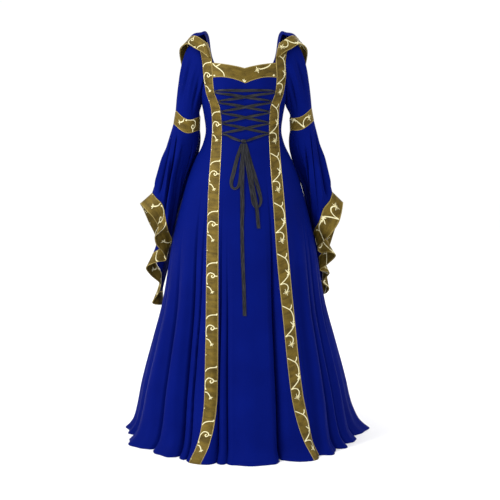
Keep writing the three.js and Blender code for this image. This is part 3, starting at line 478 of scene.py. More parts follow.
    def band_angle(self, side: Side, s: Array, across: float) -> Array:
        """Returns a band's edge angle: across is -1 at its inner edge and 1 at its outer edge."""
        return self.angle(self.centre[side](s) + side.sign * across * self.width(s) / 2, s)

    def side_front_edge(self, side: Side, s: Array) -> Array:
        """Returns the angle of the side seam, and above the underarm of the armhole's front."""
        seam = side.sign * math.pi / 2
        band = self.band_angle(side, s, 1)
        rise = np.clip((s - UNDERARM_HEIGHT) / (YOKE_LOW - UNDERARM_HEIGHT), 0, 1)
        return np.where(s <= UNDERARM_HEIGHT, seam, band + (seam - band) * (1 - rise) ** 1.2)

    def back_edge(self, s: Array) -> Array:
        """Returns the angle of the side seam, and above the underarm of the armhole's back."""
        high = self.angle(self.armhole_x(s), s, back=True)
        return np.where(s <= UNDERARM_HEIGHT, math.pi / 2, high)

    def armhole(self, side: Side, around: Array) -> Array:
        """Returns the armhole just outside the body's cloth, once around from the shoulder."""
        front = around <= 0.5
        drop = np.where(front, around * 2, (1 - around) * 2)
        s = SHOULDER_LINE + (UNDERARM_HEIGHT - SHOULDER_LINE) * drop
        ahead = np.where(s > YOKE_LOW, self.band_angle(side, s, 1), self.side_front_edge(side, s))
        theta = np.where(front, ahead, side.sign * self.back_edge(s))
        return self.place(theta, s) + self.normal(theta, s) * (BAND / 2 + CLOTH / 2 + SEAM)


BODY = BodyForm()


class Nodes:
    """A small helper that adds and joins shader or geometry nodes."""

    def __init__(self, tree: NodeTree) -> None:
        """Takes the tree to fill."""
        self.tree = tree

    def add(self, kind: str, inputs: dict[str | int, object] | None = None, **settings: object) -> Node:
        """Adds a node.

        Args:
            kind: Blender's name of the node type.
            inputs: a value or an output socket for each named or numbered input.
            settings: values of the node's own properties.

        Returns:
            The node.
        """
        node = self.tree.nodes.new(kind)
        for name, value in settings.items():
            setattr(node, name, value)
        return self.fill(node, inputs or {})

    def fill(self, node: Node, inputs: dict[str | int, object]) -> Node:
        """Gives each named or numbered input of a node its value or output socket."""
        for key, value in inputs.items():
            if isinstance(value, NodeSocket):
                self.link(value, node.inputs[key])
            else:
                node.inputs[key].default_value = value
        return node

    def math(self, operation: str, *values: object) -> NodeSocket:
        """Adds a math node and returns its output."""
        node = self.add("ShaderNodeMath", dict(enumerate(values)), operation=operation)
        return node.outputs[0]

    def plus(self, *values: object) -> NodeSocket:
        """Adds a node that sums two values and returns its output."""
        return self.math("ADD", *values)

    def times(self, *values: object) -> NodeSocket:
        """Adds a node that multiplies two values and returns its output."""
        return self.math("MULTIPLY", *values)

    def noise(self, place: NodeSocket, scale: float, detail: float,
              distortion: float = 0.0) -> NodeSocket:
        """Adds a noise texture and returns its value."""
        node = self.add("ShaderNodeTexNoise", {"Vector": place, "Scale": scale, "Detail": detail,
                                               "Distortion": distortion})
        return node.outputs[0]

    def stretched(self, place: NodeSocket, by: Triple) -> NodeSocket:
        """Adds a node that stretches a place along its axes and returns its output."""
        return self.add("ShaderNodeVectorMath", {0: place, 1: by}, operation="MULTIPLY").outputs[0]

    def relief(self, height: NodeSocket, strength: float, distance: float,
               **more: NodeSocket) -> NodeSocket:
        """Adds a bump node and returns its normal."""
        node = self.add("ShaderNodeBump", {"Height": height, "Strength": strength, "Distance": distance,
                                           **more})
        return node.outputs[0]

    def lay(self) -> tuple[NodeSocket, NodeSocket, NodeSocket]:
        """Adds the cloth's flat lay and returns it whole, across and along."""
        flat = self.add("ShaderNodeUVMap", uv_map="cloth").outputs[0]
        apart = self.add("ShaderNodeSeparateXYZ", {0: flat}).outputs
        return flat, apart[0], apart[1]

    def ramp(self, source: NodeSocket, stops: Sequence[tuple[float, tuple]]) -> NodeSocket:
        """Adds a colour ramp and returns its colour."""
        node = self.add("ShaderNodeValToRGB", {0: source})
        elements = node.color_ramp.elements
        while len(elements) < len(stops):
            elements.new(0.5)
        for element, (place, colour) in zip(elements, stops):
            element.position, element.color = place, colour
        return node.outputs[0]

    def link(self, source: NodeSocket, target: NodeSocket) -> None:
        """Joins two sockets."""
        self.tree.links.new(source, target)


def new_material(name: str) -> tuple[Material, Nodes, Node]:
    """Returns a new material, its node helper and its main shader."""
    material = bpy.data.materials.new(name)
    material.use_nodes = True
    nodes = Nodes(material.node_tree)
    return material, nodes, material.node_tree.nodes["Principled BSDF"]


@dataclass(frozen=True)
class JerseyFinish:
    """Soft knitted jersey: fine upright ribs, a faint nap and slow changes of shade."""

    colour: Colour = (0.0011, 0.0066, 0.138, 1)
    deep: Colour = (0.0007, 0.0042, 0.098, 1)
    rib: float = 0.0013
    course: float = 0.0017
    name: str = "blue_jersey"

    def build(self) -> Material:
        """Returns the material, which reads the cloth's own flat lay."""
        material, n, shader = new_material(self.name)
        _, width, height = n.lay()
        row = n.math("FLOOR", n.math("DIVIDE", height, self.course))
        shift = n.times(n.math("MODULO", row, 2.0), 0.25)
        across = n.plus(n.math("DIVIDE", width, self.rib), shift)
        rib = n.math("ABSOLUTE", n.math("SINE", n.times(across, math.pi)))
        stitch = n.math("ABSOLUTE", n.math("SINE", n.times(height, math.pi / self.course)))
        knit = n.times(rib, n.plus(n.times(stitch, 0.5), 0.5))
        place = n.add("ShaderNodeTexCoord").outputs["Object"]
        slow, fuzz = n.noise(place, 7.0, 3.0), n.noise(place, 900.0, 2.0)
        shade = n.plus(n.times(slow, 0.7), n.times(knit, 0.3))
        n.fill(shader, {
            "Base Color": n.ramp(shade, ((0.25, self.deep), (0.75, self.colour))),
            "Normal": n.relief(n.plus(knit, n.times(fuzz, 0.5)), 0.22, 0.0005),
            "Roughness": n.plus(n.times(fuzz, 0.12), 0.62), "Specular IOR Level": 0.02,
            "Sheen Weight": 0.012, "Sheen Roughness": 0.45, "Sheen Tint": (0.12, 0.22, 0.9, 1)})
        return material


@dataclass(frozen=True)
class BrocadeFinish:
    """Old-gold brocade: a close twill with a dull metallic weft, a cloudy ground that is partly painted
    crumple shade, and crosswise crumples whose shade is painted into the colour as well as bumped.
    """

    light: Colour = (0.190, 0.128, 0.019, 1)
    dark: Colour = (0.042, 0.027, 0.004, 1)
    thread: float = 0.0009
    # stretch of the crosswise crumple noise, which paints crumple shade into the colour and also bumps the
    # cloth
    crumple: Triple = (14.0, 62.0, 0.0)
    name: str = "gold_brocade"

    def build(self) -> Material:
        """Returns the material, which reads the cloth's own flat lay."""
        material, n, shader = new_material(self.name)
        flat, width, height = n.lay()
        slant = n.plus(width, n.times(height, 0.6))
        twill = n.math("SINE", n.times(slant, TAU / (2.2 * self.thread)))
        weft = n.math("SINE", n.times(height, TAU / self.thread))
        weave = n.plus(n.times(twill, 0.3), n.times(weft, 0.2))
        place = n.add("ShaderNodeTexCoord").outputs["Object"]
        # random cloudy tone with its contrast raised as painted crumple shade, and fine flecks of tone
        tone_and_painted_light, fleck = n.noise(place, 34.0, 4.0), n.noise(place, 420.0, 2.0)
        # painted crumple shade: crosswise noise darkens the colour, and the same noise bumps the cloth
        crumple_shade_and_bump = n.noise(n.stretched(flat, self.crumple), 1.0, 3.0, 0.8)
        shade = n.plus(n.times(tone_and_painted_light, 0.32), n.times(weave, 0.2))
        shade = n.plus(shade, n.times(crumple_shade_and_bump, 0.5))
        shade = n.plus(shade, n.times(fleck, 0.2))
        hollow = n.relief(crumple_shade_and_bump, 0.5, 0.004)
        n.fill(shader, {
            "Base Color": n.ramp(shade, ((0.34, self.dark), (0.68, self.light))),
            "Normal": n.relief(weave, 0.35, 0.0004, Normal=hollow),
            "Roughness": n.plus(n.times(fleck, 0.2), 0.42), "Metallic": 0.2,
            "Specular IOR Level": 0.12})
        return material


@dataclass(frozen=True)
class ThreadFinish:
    """Twisted thread, for embroidery and piping."""

    colour: Colour
    name: str
    metal: float = 0.0
    rough: float = 0.5

    def build(self) -> Material:
        """Returns the material, with a fine slanting twist in object space."""
        material, n, shader = new_material(self.name)
        twist = n.noise(n.add("ShaderNodeTexCoord").outputs["Object"], 1400.0, 1.0)
        low = tuple(0.62 * c for c in self.colour[:3]) + (1,)
        n.fill(shader, {
            "Base Color": n.ramp(twist, ((0.3, low), (0.62, self.colour))),
            "Normal": n.relief(twist, 0.3, 0.0003), "Roughness": self.rough, "Metallic": self.metal})
        return material


@dataclass(frozen=True)
class SatinFinish:
    """Narrow satin ribbon with a fine lengthwise warp and woven edges; its colour holds painted sheen
    streaks along the ribbon with painted fold shade between them.
    """

    # colour is where the painted sheen streaks are brightest; edge is the painted fold shade between them,
    # not a colour of the ribbon's edges
    colour: Colour = (0.030, 0.031, 0.037, 1)
    edge: Colour = (0.0035, 0.0035, 0.005, 1)
    warp: float = 0.0006
    # stretch of the noise that paints sheen streaks and fold shade along the ribbon
    streak: Triple = (330.0, 32.0, 0.0)
    name: str = "black_satin"

    def build(self) -> Material:
        """Returns the material, which reads the ribbon's own flat lay."""
        material, n, shader = new_material(self.name)
        flat, width, _ = n.lay()
        warp = n.math("SINE", n.times(width, TAU / self.warp))
        # painted sheen streaks along the ribbon, with painted fold shade between them
        tone_and_painted_light = n.noise(n.stretched(flat, self.streak), 1.0, 2.0)
        shade = n.plus(n.times(tone_and_painted_light, 0.95), n.times(warp, 0.06))
        n.fill(shader, {
            "Base Color": n.ramp(shade, ((0.36, self.edge), (0.68, self.colour))),
            "Normal": n.relief(warp, 0.12, 0.0002), "Roughness": 0.42, "Specular IOR Level": 0.16})
        return material


def settle(piece: Object, material: Material, slot: str, *nodes: str) -> Object:
    """Gives a piece its finish and body, and hides the solids it stands for.

    Args:
        piece: the finished object.
        material: its finish.
        slot: the record's material slot; not used.
        nodes: names of the solids that it replaces.

    Returns:
        The piece.
    """
    if not piece.data.materials:
        piece.data.materials.append(material)
    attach(piece, "root")
    if nodes:
        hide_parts(*nodes)
    LOG.info("%s: %d faces", piece.name, len(piece.data.polygons))
    return piece


@dataclass
class Wardrobe:
    """The finishes of the gown, each made once."""

    jersey: Material = field(default_factory=lambda: JerseyFinish().build())
    brocade: Material = field(default_factory=lambda: BrocadeFinish().build())
    satin: Material = field(default_factory=lambda: SatinFinish().build())
    vine: Material = field(
        default_factory=lambda: ThreadFinish((0.92, 0.85, 0.5, 1), "cream_thread").build())
    piping: Material = field(
        default_factory=lambda: ThreadFinish((0.42, 0.32, 0.09, 1), "gold_piping", 0.4, 0.4).build())

    def sheet(self, name: str, node: str, face: Face, gold: bool, rests_on: Sequence[str],
              thickness: Array | float, held: str = "hung") -> None:
        """Makes one sheet of cloth for a solid, with its flat lay as a UV map.

        Args:
            name: name of the piece.
            node: name of the solid that it replaces.
            face: the middle of its cloth.
            gold: True for brocade and False for jersey.
            rests_on: names of the solids that carry it; not used.
            thickness: its wall in millimetres.
            held: how it is held; not used.
        """
        finish, slot = (self.brocade, "gold_brocade") if gold else (self.jersey, "blue_jersey")
        piece = settle(link(name, cloth_mesh(name, face, thickness)), finish, slot, node)

    def ribbon(self, name: str, mesh: Mesh, node: str) -> Object:
        """Makes one satin piece of the lace."""
        return settle(link(name, mesh), self.satin, "black_satin", node)


@dataclass
class Trim:
    """The face of a gold band with its own straight lay, for what is sewn on it."""

    name: str
    face: Face
    lift: float
    half: float = 0.0195
    flip: bool = False

    def length(self) -> float:
        """Returns the length of the band's middle in metres."""
        middle = self.face.ring()[self.face.points.shape[0] // 2] if self.flip else self.middle()
        return float(steps(middle).sum()) * MM

    def middle(self) -> Array:
        """Returns the band's middle line where it runs up the rows."""
        return self.face.points[:, self.face.points.shape[1] // 2]

    def carrier(self) -> Object:
        """Returns a helper mesh of the band's face with the straight lay as a UV map."""
        moved = self.face.moved(np.full(self.face.points.shape[:2], self.lift))
        p = moved.ring()
        rows, columns = p.shape[:2]
        across = np.linspace(-self.half, self.half, rows if self.flip else columns)
        if self.flip:
            across, along = across[:, None], reached(p[rows // 2]) * MM
        else:
            along = reached(self.middle())[:, None] * MM
        u, v = (np.broadcast_to(a, (rows, columns)) for a in (across, along))
        grid = np.meshgrid(np.arange(rows - 1), np.arange(columns - 1), indexing="ij")
        j, i = (a.ravel() for a in grid)
        corner = [(j, i), (j, i + 1), (j + 1, i + 1), (j + 1, i)]
        quads = np.stack([a * columns + b for a, b in corner], axis=1)
        lay = np.stack([np.stack([u[a, b], v[a, b]], axis=1) for a, b in corner], axis=1)
        if self.face.facing < 0:
            quads, lay = quads[:, ::-1], lay[:, ::-1]
        turned = (self.face.facing < 0) != self.flip
        if turned:
            lay = lay * np.array([-1.0, 1.0])
        mesh = make_mesh(f"{self.name}_lay", in_frame(p.reshape(-1, 3)), quads.tolist())
        lay_flat(mesh, "lay", lay)
        return link(f"{self.name}_lay", mesh)


class LaidOn:
    """Geometry Nodes that repeat a flat motif along a band and lay it on the cloth."""

    SOCKETS = (("Band", "NodeSocketObject"), ("Repeat", "NodeSocketFloat"), ("Count", "NodeSocketInt"),
               ("Start", "NodeSocketFloat"), ("Across", "NodeSocketFloat"), ("Cord", "NodeSocketFloat"),
               ("Finish", "NodeSocketMaterial"))

    def __init__(self, name: str, corded: bool) -> None:
        """Builds the tree.

        Args:
            name: name of the tree.
            corded: True where the motif is a line that becomes a round cord.
        """
        self.tree = bpy.data.node_groups.new(name, "GeometryNodeTree")
        face = self.tree.interface
        face.new_socket("Geometry", in_out="INPUT", socket_type="NodeSocketGeometry")
        for label, kind in self.SOCKETS:
            face.new_socket(label, in_out="INPUT", socket_type=kind)
        face.new_socket("Geometry", in_out="OUTPUT", socket_type="NodeSocketGeometry")
        self.ids = {item.name: item.identifier for item in face.items_tree if item.in_out == "INPUT"}
        n = Nodes(self.tree)
        given = n.add("NodeGroupInput").outputs
        start = n.add("ShaderNodeCombineXYZ", {0: given["Across"], 1: given["Start"]})
        step = n.add("ShaderNodeCombineXYZ", {1: given["Repeat"]})
        line = n.add("GeometryNodeMeshLine", {"Count": given["Count"], "Start Location": start.outputs[0],
                                              "Offset": step.outputs[0]}, mode="OFFSET")
        placed = n.add("GeometryNodeInstanceOnPoints", {
            "Points": line.outputs[0], "Instance": given["Geometry"]})
        real = n.add("GeometryNodeRealizeInstances", {0: placed.outputs[0]})
        flat = n.add("GeometryNodeInputPosition").outputs[0]
        height = n.add("ShaderNodeSeparateXYZ", {0: flat}).outputs[2]
        band = n.add("GeometryNodeObjectInfo", {0: given["Band"]}, transform_space="ORIGINAL")
        lay = n.add("GeometryNodeInputNamedAttribute", {"Name": "lay"},
                    data_type="FLOAT_VECTOR").outputs[0]
        spots = []
        for source in ("GeometryNodeInputPosition", "GeometryNodeInputNormal"):
            sample = n.add("GeometryNodeSampleUVSurface", {
                "Mesh": band.outputs["Geometry"], "Value": n.add(source).outputs[0], "UV Map": lay,
                "Sample UV": flat}, data_type="FLOAT_VECTOR")
            spots.append(sample)
        rise = n.add("ShaderNodeVectorMath", {0: spots[1].outputs[0], "Scale": height}, operation="SCALE")
        there = n.add("ShaderNodeVectorMath", {0: spots[0].outputs[0], 1: rise.outputs[0]},
                      operation="ADD")
        missed = n.add("FunctionNodeBooleanMath", {0: spots[0].outputs["Is Valid"]}, operation="NOT")
        moved = n.add("GeometryNodeSetPosition", {
            "Geometry": real.outputs[0], "Position": there.outputs[0]})
        kept = n.add("GeometryNodeStoreNamedAttribute", {
            "Geometry": real.outputs[0], "Name": "missed", "Value": missed.outputs[0]},
            data_type="BOOLEAN", domain="POINT")
        n.link(kept.outputs[0], moved.inputs["Geometry"])
        gone = n.add("GeometryNodeInputNamedAttribute", {"Name": "missed"}, data_type="BOOLEAN")
        clean = n.add("GeometryNodeDeleteGeometry", {
            "Geometry": moved.outputs[0], "Selection": gone.outputs[0]})
        result = clean.outputs[0]
        if corded:
            curve = n.add("GeometryNodeMeshToCurve", {"Mesh": result})
            ring = n.add("GeometryNodeCurvePrimitiveCircle", {"Resolution": 6, "Radius": given["Cord"]})
            cord = n.add("GeometryNodeCurveToMesh", {
                "Curve": curve.outputs[0], "Profile Curve": ring.outputs["Curve"], "Fill Caps": True})
            result = cord.outputs[0]
        whole = n.add("GeometryNodeRealizeInstances", {0: result})
        dressed = n.add("GeometryNodeSetMaterial", {
            "Geometry": whole.outputs[0], "Material": given["Finish"]})
        out = n.add("NodeGroupOutput")
        n.link(dressed.outputs[0], out.inputs[0])

    def sew(self, name: str, motif: Mesh, band: Object, finish: Material,
            repeat: float, count: int, start: float, across: float = 0.0, cord: float = 0.001) -> Mesh:
        """Lays a motif on a band and returns the result as a plain mesh.

        Args:
            name: name of the new mesh.
            motif: the flat motif, across in X, along in Y and high in Z.
            band: the band's helper mesh.
            finish: material of the result.
            repeat: distance from one motif to the next in metres.
            count: how many motifs.
            start: place of the first one along the band.
            across: place of all of them across the band.
            cord: radius of a corded line.

        Returns:
            The mesh, in the row frame.
        """
        source = link(f"{name}_source", motif)
        modifier = source.modifiers.new("laid", "NODES")
        modifier.node_group = self.tree
        values = {"Band": band, "Repeat": repeat, "Count": count, "Start": start, "Across": across,
                  "Cord": cord, "Finish": finish}
        for label, value in values.items():
            modifier[self.ids[label]] = value
        bpy.context.view_layer.update()
        seen = source.evaluated_get(bpy.context.evaluated_depsgraph_get())
        mesh = bpy.data.meshes.new_from_object(seen)
        mesh.name = name
        source.modifiers.remove(modifier)
        bpy.data.objects.remove(source)
        return mesh


def strip(line: Array, width: float, height: float) -> Flat:
    """Returns a raised flat thread along a flat line, pointed at both ends.

    Args:
        line: places (across, along) in metres.
        width: full width of the thread.
        height: how far its middle stands up.

    Returns:
        Points and faces of the thread.
    """
    line = np.asarray(line, float)
    tangent = unit(np.gradient(line, axis=0))
    sideways = np.stack([tangent[:, 1], -tangent[:, 0]], axis=1)
    place = np.arange(len(line))
    taper = np.clip(np.minimum(place, place[::-1]) + TIP, 0, 1)[:, None]
    left, right = line - sideways * width / 2 * taper, line + sideways * width / 2 * taper
    flat = np.zeros((len(line), 1))
    lines = ((left, 0.0), (line, height), (right, 0.0))
    points = np.concatenate([np.hstack([spots, flat + rise]) for spots, rise in lines])
    n = len(line)
    faces = []
    for k in range(n - 1):
        faces.append([k, n + k, n + k + 1, k + 1])
        faces.append([n + k, 2 * n + k, 2 * n + k + 1, n + k + 1])
    return points, faces


class Vine(Enum):
    """The embroidered designs."""

    SCROLL = "scroll"
    FLOWER = "flower"
    YOKE = "yoke"


@dataclass(frozen=True)
class VineMotif:
    """One repeat of an embroidered vine on a band whose half width counts as 1 across.

    A line is a thread through places (across, along in millimetres). A bud has a place, a heading
    in degrees and a size in millimetres. A star has a place and a size.
    """

    repeat: float
    lines: Sequence[Sequence[tuple[float, float]]]
    buds: Sequence[tuple[float, float, float, float]] = ()
    stars: Sequence[Triple] = ()
    start: float = 0.0
    thread: float = 0.0030
    height: float = 0.0007
    half: float = 0.0195
    inset: float = 0.93
    leaf_height: float = 1.3
    small: float = 0.62
    stretch: float = 1.0

    def spot(self, across: float, along: float) -> Array:
        """Returns a place on the flat band in metres."""
        return np.array([across * self.half * self.inset, along * self.stretch * MM])

    def thread_line(self, places: Sequence[tuple[float, float]]) -> Flat:
        """Returns a thread along a smooth line through the places."""
        spots = np.array([[*self.spot(*place), 0.0] for place in places])
        run = steps(spots).sum()
        line = SoftPath(spots).at(np.linspace(0, 1, max(6, int(run / THREAD_STEP))))[:, :2]
        return strip(line, self.thread, self.height)

    def leaf(self, root: Array, heading: float, reach: float, wide: float) -> Flat:
        """Returns a pointed leaf."""
        way = np.array([math.cos(heading), math.sin(heading)])
        spots = np.array([root + way * reach * share for share in (0.0, 0.35, 0.7, 1.0)])
        return strip(spots, wide, self.height * self.leaf_height)

    def parts(self) -> list[Flat]:
        """Returns all the threads and leaves of the motif."""
        found = [self.thread_line(line) for line in self.lines]
        for across, along, degrees, size in self.buds:
            for turn in (-52, 0, 52):
                heading = math.radians(degrees + turn)
                found.append(self.leaf(self.spot(across, along), heading, size * MM, self.thread))
        for across, along, size in self.stars:
            for k in range(8):
                reach = size * MM * (1.0 if k % 2 == 0 else self.small)
                heading = 0.3 + TAU * k / 8
                found.append(self.leaf(self.spot(across, along), heading, reach, self.small * self.thread))
        return found

    def build(self) -> Mesh:
        """Returns the motif as a flat mesh, across in X and along in Y."""
        points, faces, shift = [], [], 0
        for spots, quads in self.parts():
            points.append(spots)
            faces.extend([[v + shift for v in quad] for quad in quads])
            shift += len(spots)
        return make_mesh("vine_motif", np.concatenate(points), faces, smooth=False)


VINES = {
    Vine.SCROLL: VineMotif(0.174, (
        ((-1, 160), (-0.72, 168), (-0.1, 174), (0.95, 176)),
        ((-0.98, 103), (-1.0, 118), (-0.9, 130), (-0.35, 140), (0.35, 136), (0.48, 129), (0.12, 124),
         (-0.1, 129), (0.12, 132)),
        ((0.42, 131), (0.7, 129.5), (1, 130)),
        ((-1, 93), (-0.55, 91), (-0.2, 84), (0.0, 77)),
        ((-0.98, 103), (-0.75, 100)),
    ), ((0.93, 176, 160, 4.5), (0.0, 77, -60, 8.0), (-0.95, 103, 30, 3.5), (-1.0, 38, 90, 3.0)),
        start=-0.0227, stretch=0.9775),
    Vine.FLOWER: VineMotif(0.174, (
        ((-1, 176), (-0.2, 167), (0.45, 158), (0.8, 143), (0.85, 126), (0.7, 112), (0.72, 103),
         (0.1, 88), (-0.98, 70)),
        ((0.28, 161), (0.62, 168), (0.72, 178)),
        ((0.2, 120), (0.72, 108), (1, 104)),
        ((0.4, 100), (0.72, 107), (1, 114)),
        ((-0.98, 70), (-0.4, 73), (0.15, 70), (0.42, 61), (0.3, 50), (0.05, 45)),
    ), ((0.8, 118, 90, 4.0),), ((0.0, 43, 12.0),), stretch=0.9775),
    Vine.YOKE: VineMotif(0.238, (
        ((-1, 2), (-0.6, 10), (-0.1, 26), (0.45, 38), (1, 40)),
        ((-0.5, 13), (-0.75, 22), (-1, 30)),
        ((-1, 196), (-0.62, 188), (-0.35, 172), (-0.3, 156)),
    ), ((0.98, 105, 180, 8.0), (0.9, 203, 190, 5.0), (0.9, 6, 170, 4.0)), ((-0.3, 149, 11.0),),
        stretch=1.09),
}


@dataclass(frozen=True)
class StitchMotif:
    """One machine stitch: a short low ridge of thread."""

    length: float = 0.0027
    width: float = 0.0008
    height: float = 0.0004

    def build(self) -> Mesh:
        """Returns the stitch as a flat mesh along Y."""
        line = np.array([[0.0, f * self.length] for f in (0.0, 0.3, 0.7, 1.0)])
        points, faces = strip(line, self.width, self.height)
        return make_mesh("stitch_motif", points, faces, smooth=False)


def line_mesh(name: str, length: float, step: float = 0.005) -> Mesh:
    """Returns a straight line of edges along Y."""
    count = max(2, int(length / step))
    points = [(0.0, length * k / (count - 1), 0.0) for k in range(count)]
    mesh = bpy.data.meshes.new(name)
    mesh.from_pydata(points, [(k, k + 1) for k in range(count - 1)], [])
    return mesh


@dataclass
class Gown:
    """The body of the gown: front panel, yoke, gold front bands, side fronts and backs."""

    finishes: Wardrobe
    step: float = 11.0
    columns: int = 120
    side_columns: int = 140
    band_columns: int = 13
    seam_turn: float = 0.0016
    trims: list[Trim] = field(default_factory=list)

    def rows(self, low: float, high: float) -> Array:
        """Returns the heights of the mesh rows, evenly spaced."""
        return np.linspace(low, high, max(8, int((high - low) / self.step)))

    def panel(self, name: str, start: Edge, end: Edge, s: Array, count: int) -> Face:
        """Returns a panel between two edges.

        Args:
            name: name of the panel.
            start: angle of its first edge at a height.
            end: angle of its last edge at a height.
            s: height of each point, rows by columns.
            count: number of columns.

        Returns:
            The middle of its cloth.
        """
        u = np.linspace(0, 1, count)[None, :]
        first, last = start(s), end(s)
        face = Face(BODY.place(first + (last - first) * u, s))
        LOG.info("%s: shaped", name)
        return face

    def sweetheart(self, u: Array, side: float, lobe: float, dip: float) -> Array:
        """Returns the height of a yoke edge: two soft lobes and a point between them."""
        reach = np.abs(2 * u - 1)
        z = side + lobe * np.sin(np.pi * reach) - dip * (1 - reach) ** 2.2
        return CHEST_HEIGHT + SHOULDER_RADIUS * np.arcsin((z - CHEST_HEIGHT) / SHOULDER_RADIUS)

    def front(self) -> None:
        """Makes the front panel and the yoke above it."""
        u = np.linspace(0, 1, self.columns)[None, :]
        low, high = self.sweetheart(u, 1238.0, 3.0, 20.0), self.sweetheart(u, 1288.0, -2.0, 19.0)
        inner = [lambda s, side=side: BODY.band_angle(side, s, -1) for side in (Side.RIGHT, Side.LEFT)]
        share = self.rows(0, YOKE_LOW)[:, None] / YOKE_LOW
        s = share * (low - SEAM / 2)
        face = self.panel("front_panel", inner[0], inner[1], s, self.columns)
        face = face.moved(self.drag(face.points))
        self.finishes.sheet("front_cloth", "front_panel", face, False, ["neck_yoke"], self.hemmed(s))
        t = np.linspace(0, 1, 14)[:, None]
        s = (low + SEAM / 2) * (1 - t) + high * t
        yoke = self.panel("neck_yoke", inner[0], inner[1], s, self.columns)
        self.finishes.sheet("yoke_cloth", "neck_yoke", yoke, True,
                            ["front_band_left", "front_band_right"], BAND)
        self.trims.append(Trim("yoke", yoke, BAND / 2, flip=True))

    def drag(self, points: Array) -> Array:
        """Returns shallow drag lines of worn cloth at the waist and hips, in millimetres."""
        x, z = points[..., 0], points[..., 2]
        waist = np.exp(-(((z - 1062) / 70) ** 2))
        lines = np.sin((z + 0.35 * np.abs(x)) / 9.5) * np.exp(-(((np.abs(x) - 105) / 40) ** 2))
        hips = np.exp(-(((z - 930) / 120) ** 2)) * np.sin(x / 17 + 0.6 * np.sin(z / 60)) * 0.5
        return 0.5 * waist * lines + 0.7 * hips

    def hemmed(self, s: Array) -> Array:
        """Returns the cloth's thickness, a little more where the hem is turned up."""
        return CLOTH + HEM_EXTRA * (s < HEM_HEIGHT)

    def side(self, side: Side) -> None:
        """Makes the gold band, side front and back of one side."""
        word, sign = side.word, side.sign
        s = self.rows(0, SHOULDER_LINE - SEAM)[:, None]
        edges = [lambda h, a=a: BODY.band_angle(side, h, a) for a in (-1, 1)]
        band = self.panel(f"front_band_{word}", edges[0], edges[1], s, self.band_columns)
        band.facing = sign
        make = self.finishes.sheet
        make(f"band_cloth_{word}", f"front_band_{word}", band, True, [f"back_{word}"], BAND)
        self.trims.append(Trim(f"front_band_{word}", band, BAND / 2))
        s = self.rows(0, YOKE_LOW - 20)[:, None]
        face = self.panel(f"side_front_{word}", edges[1], lambda h: BODY.side_front_edge(side, h), s,
                          self.side_columns)
        face.facing = sign
        face = face.moved(self.drag(face.points))
        carrier = [f"front_band_{word}"]
        make(f"side_cloth_{word}", f"side_front_{word}", face, False, carrier, self.hemmed(s))
        make(f"back_cloth_{word}", f"back_{word}", self.back(side), False, carrier, CLOTH)

    def back(self, side: Side) -> Face:
        """Returns the back of one side, from the side seam to the centre back."""
        spread, corner = np.linspace(0, 1, 190), np.linspace(0.16, 0.28, 25)
        u = np.union1d(np.round(spread, 5), np.round(corner, 5))[None, :]
        v = self.rows(0, SHOULDER_LINE)[:, None]
        top = BODY.neckline_s(1 - u) - SEAM
        rise = (v - CHEST_HEIGHT) / (SHOULDER_LINE - CHEST_HEIGHT)
        s = np.where(v <= CHEST_HEIGHT, v, CHEST_HEIGHT + (top - CHEST_HEIGHT) * rise)
        edge, centre = side.sign * BODY.back_edge(s), side.sign * math.pi
        x = np.abs(BODY.half(s) * np.sin(edge)) * (1 - u)
        level = edge + (centre - edge) * u
        across = side.sign * BODY.angle(x, s, back=True)
        blend = np.where(s > CHEST_HEIGHT, smoothstep((s - 1100) / 90), 0.0)
        theta = level + (across - level) * blend
        theta = theta + side.sign * self.seam_turn * (1 - 2 * u)
        return Face(BODY.place(theta, s), side.sign)


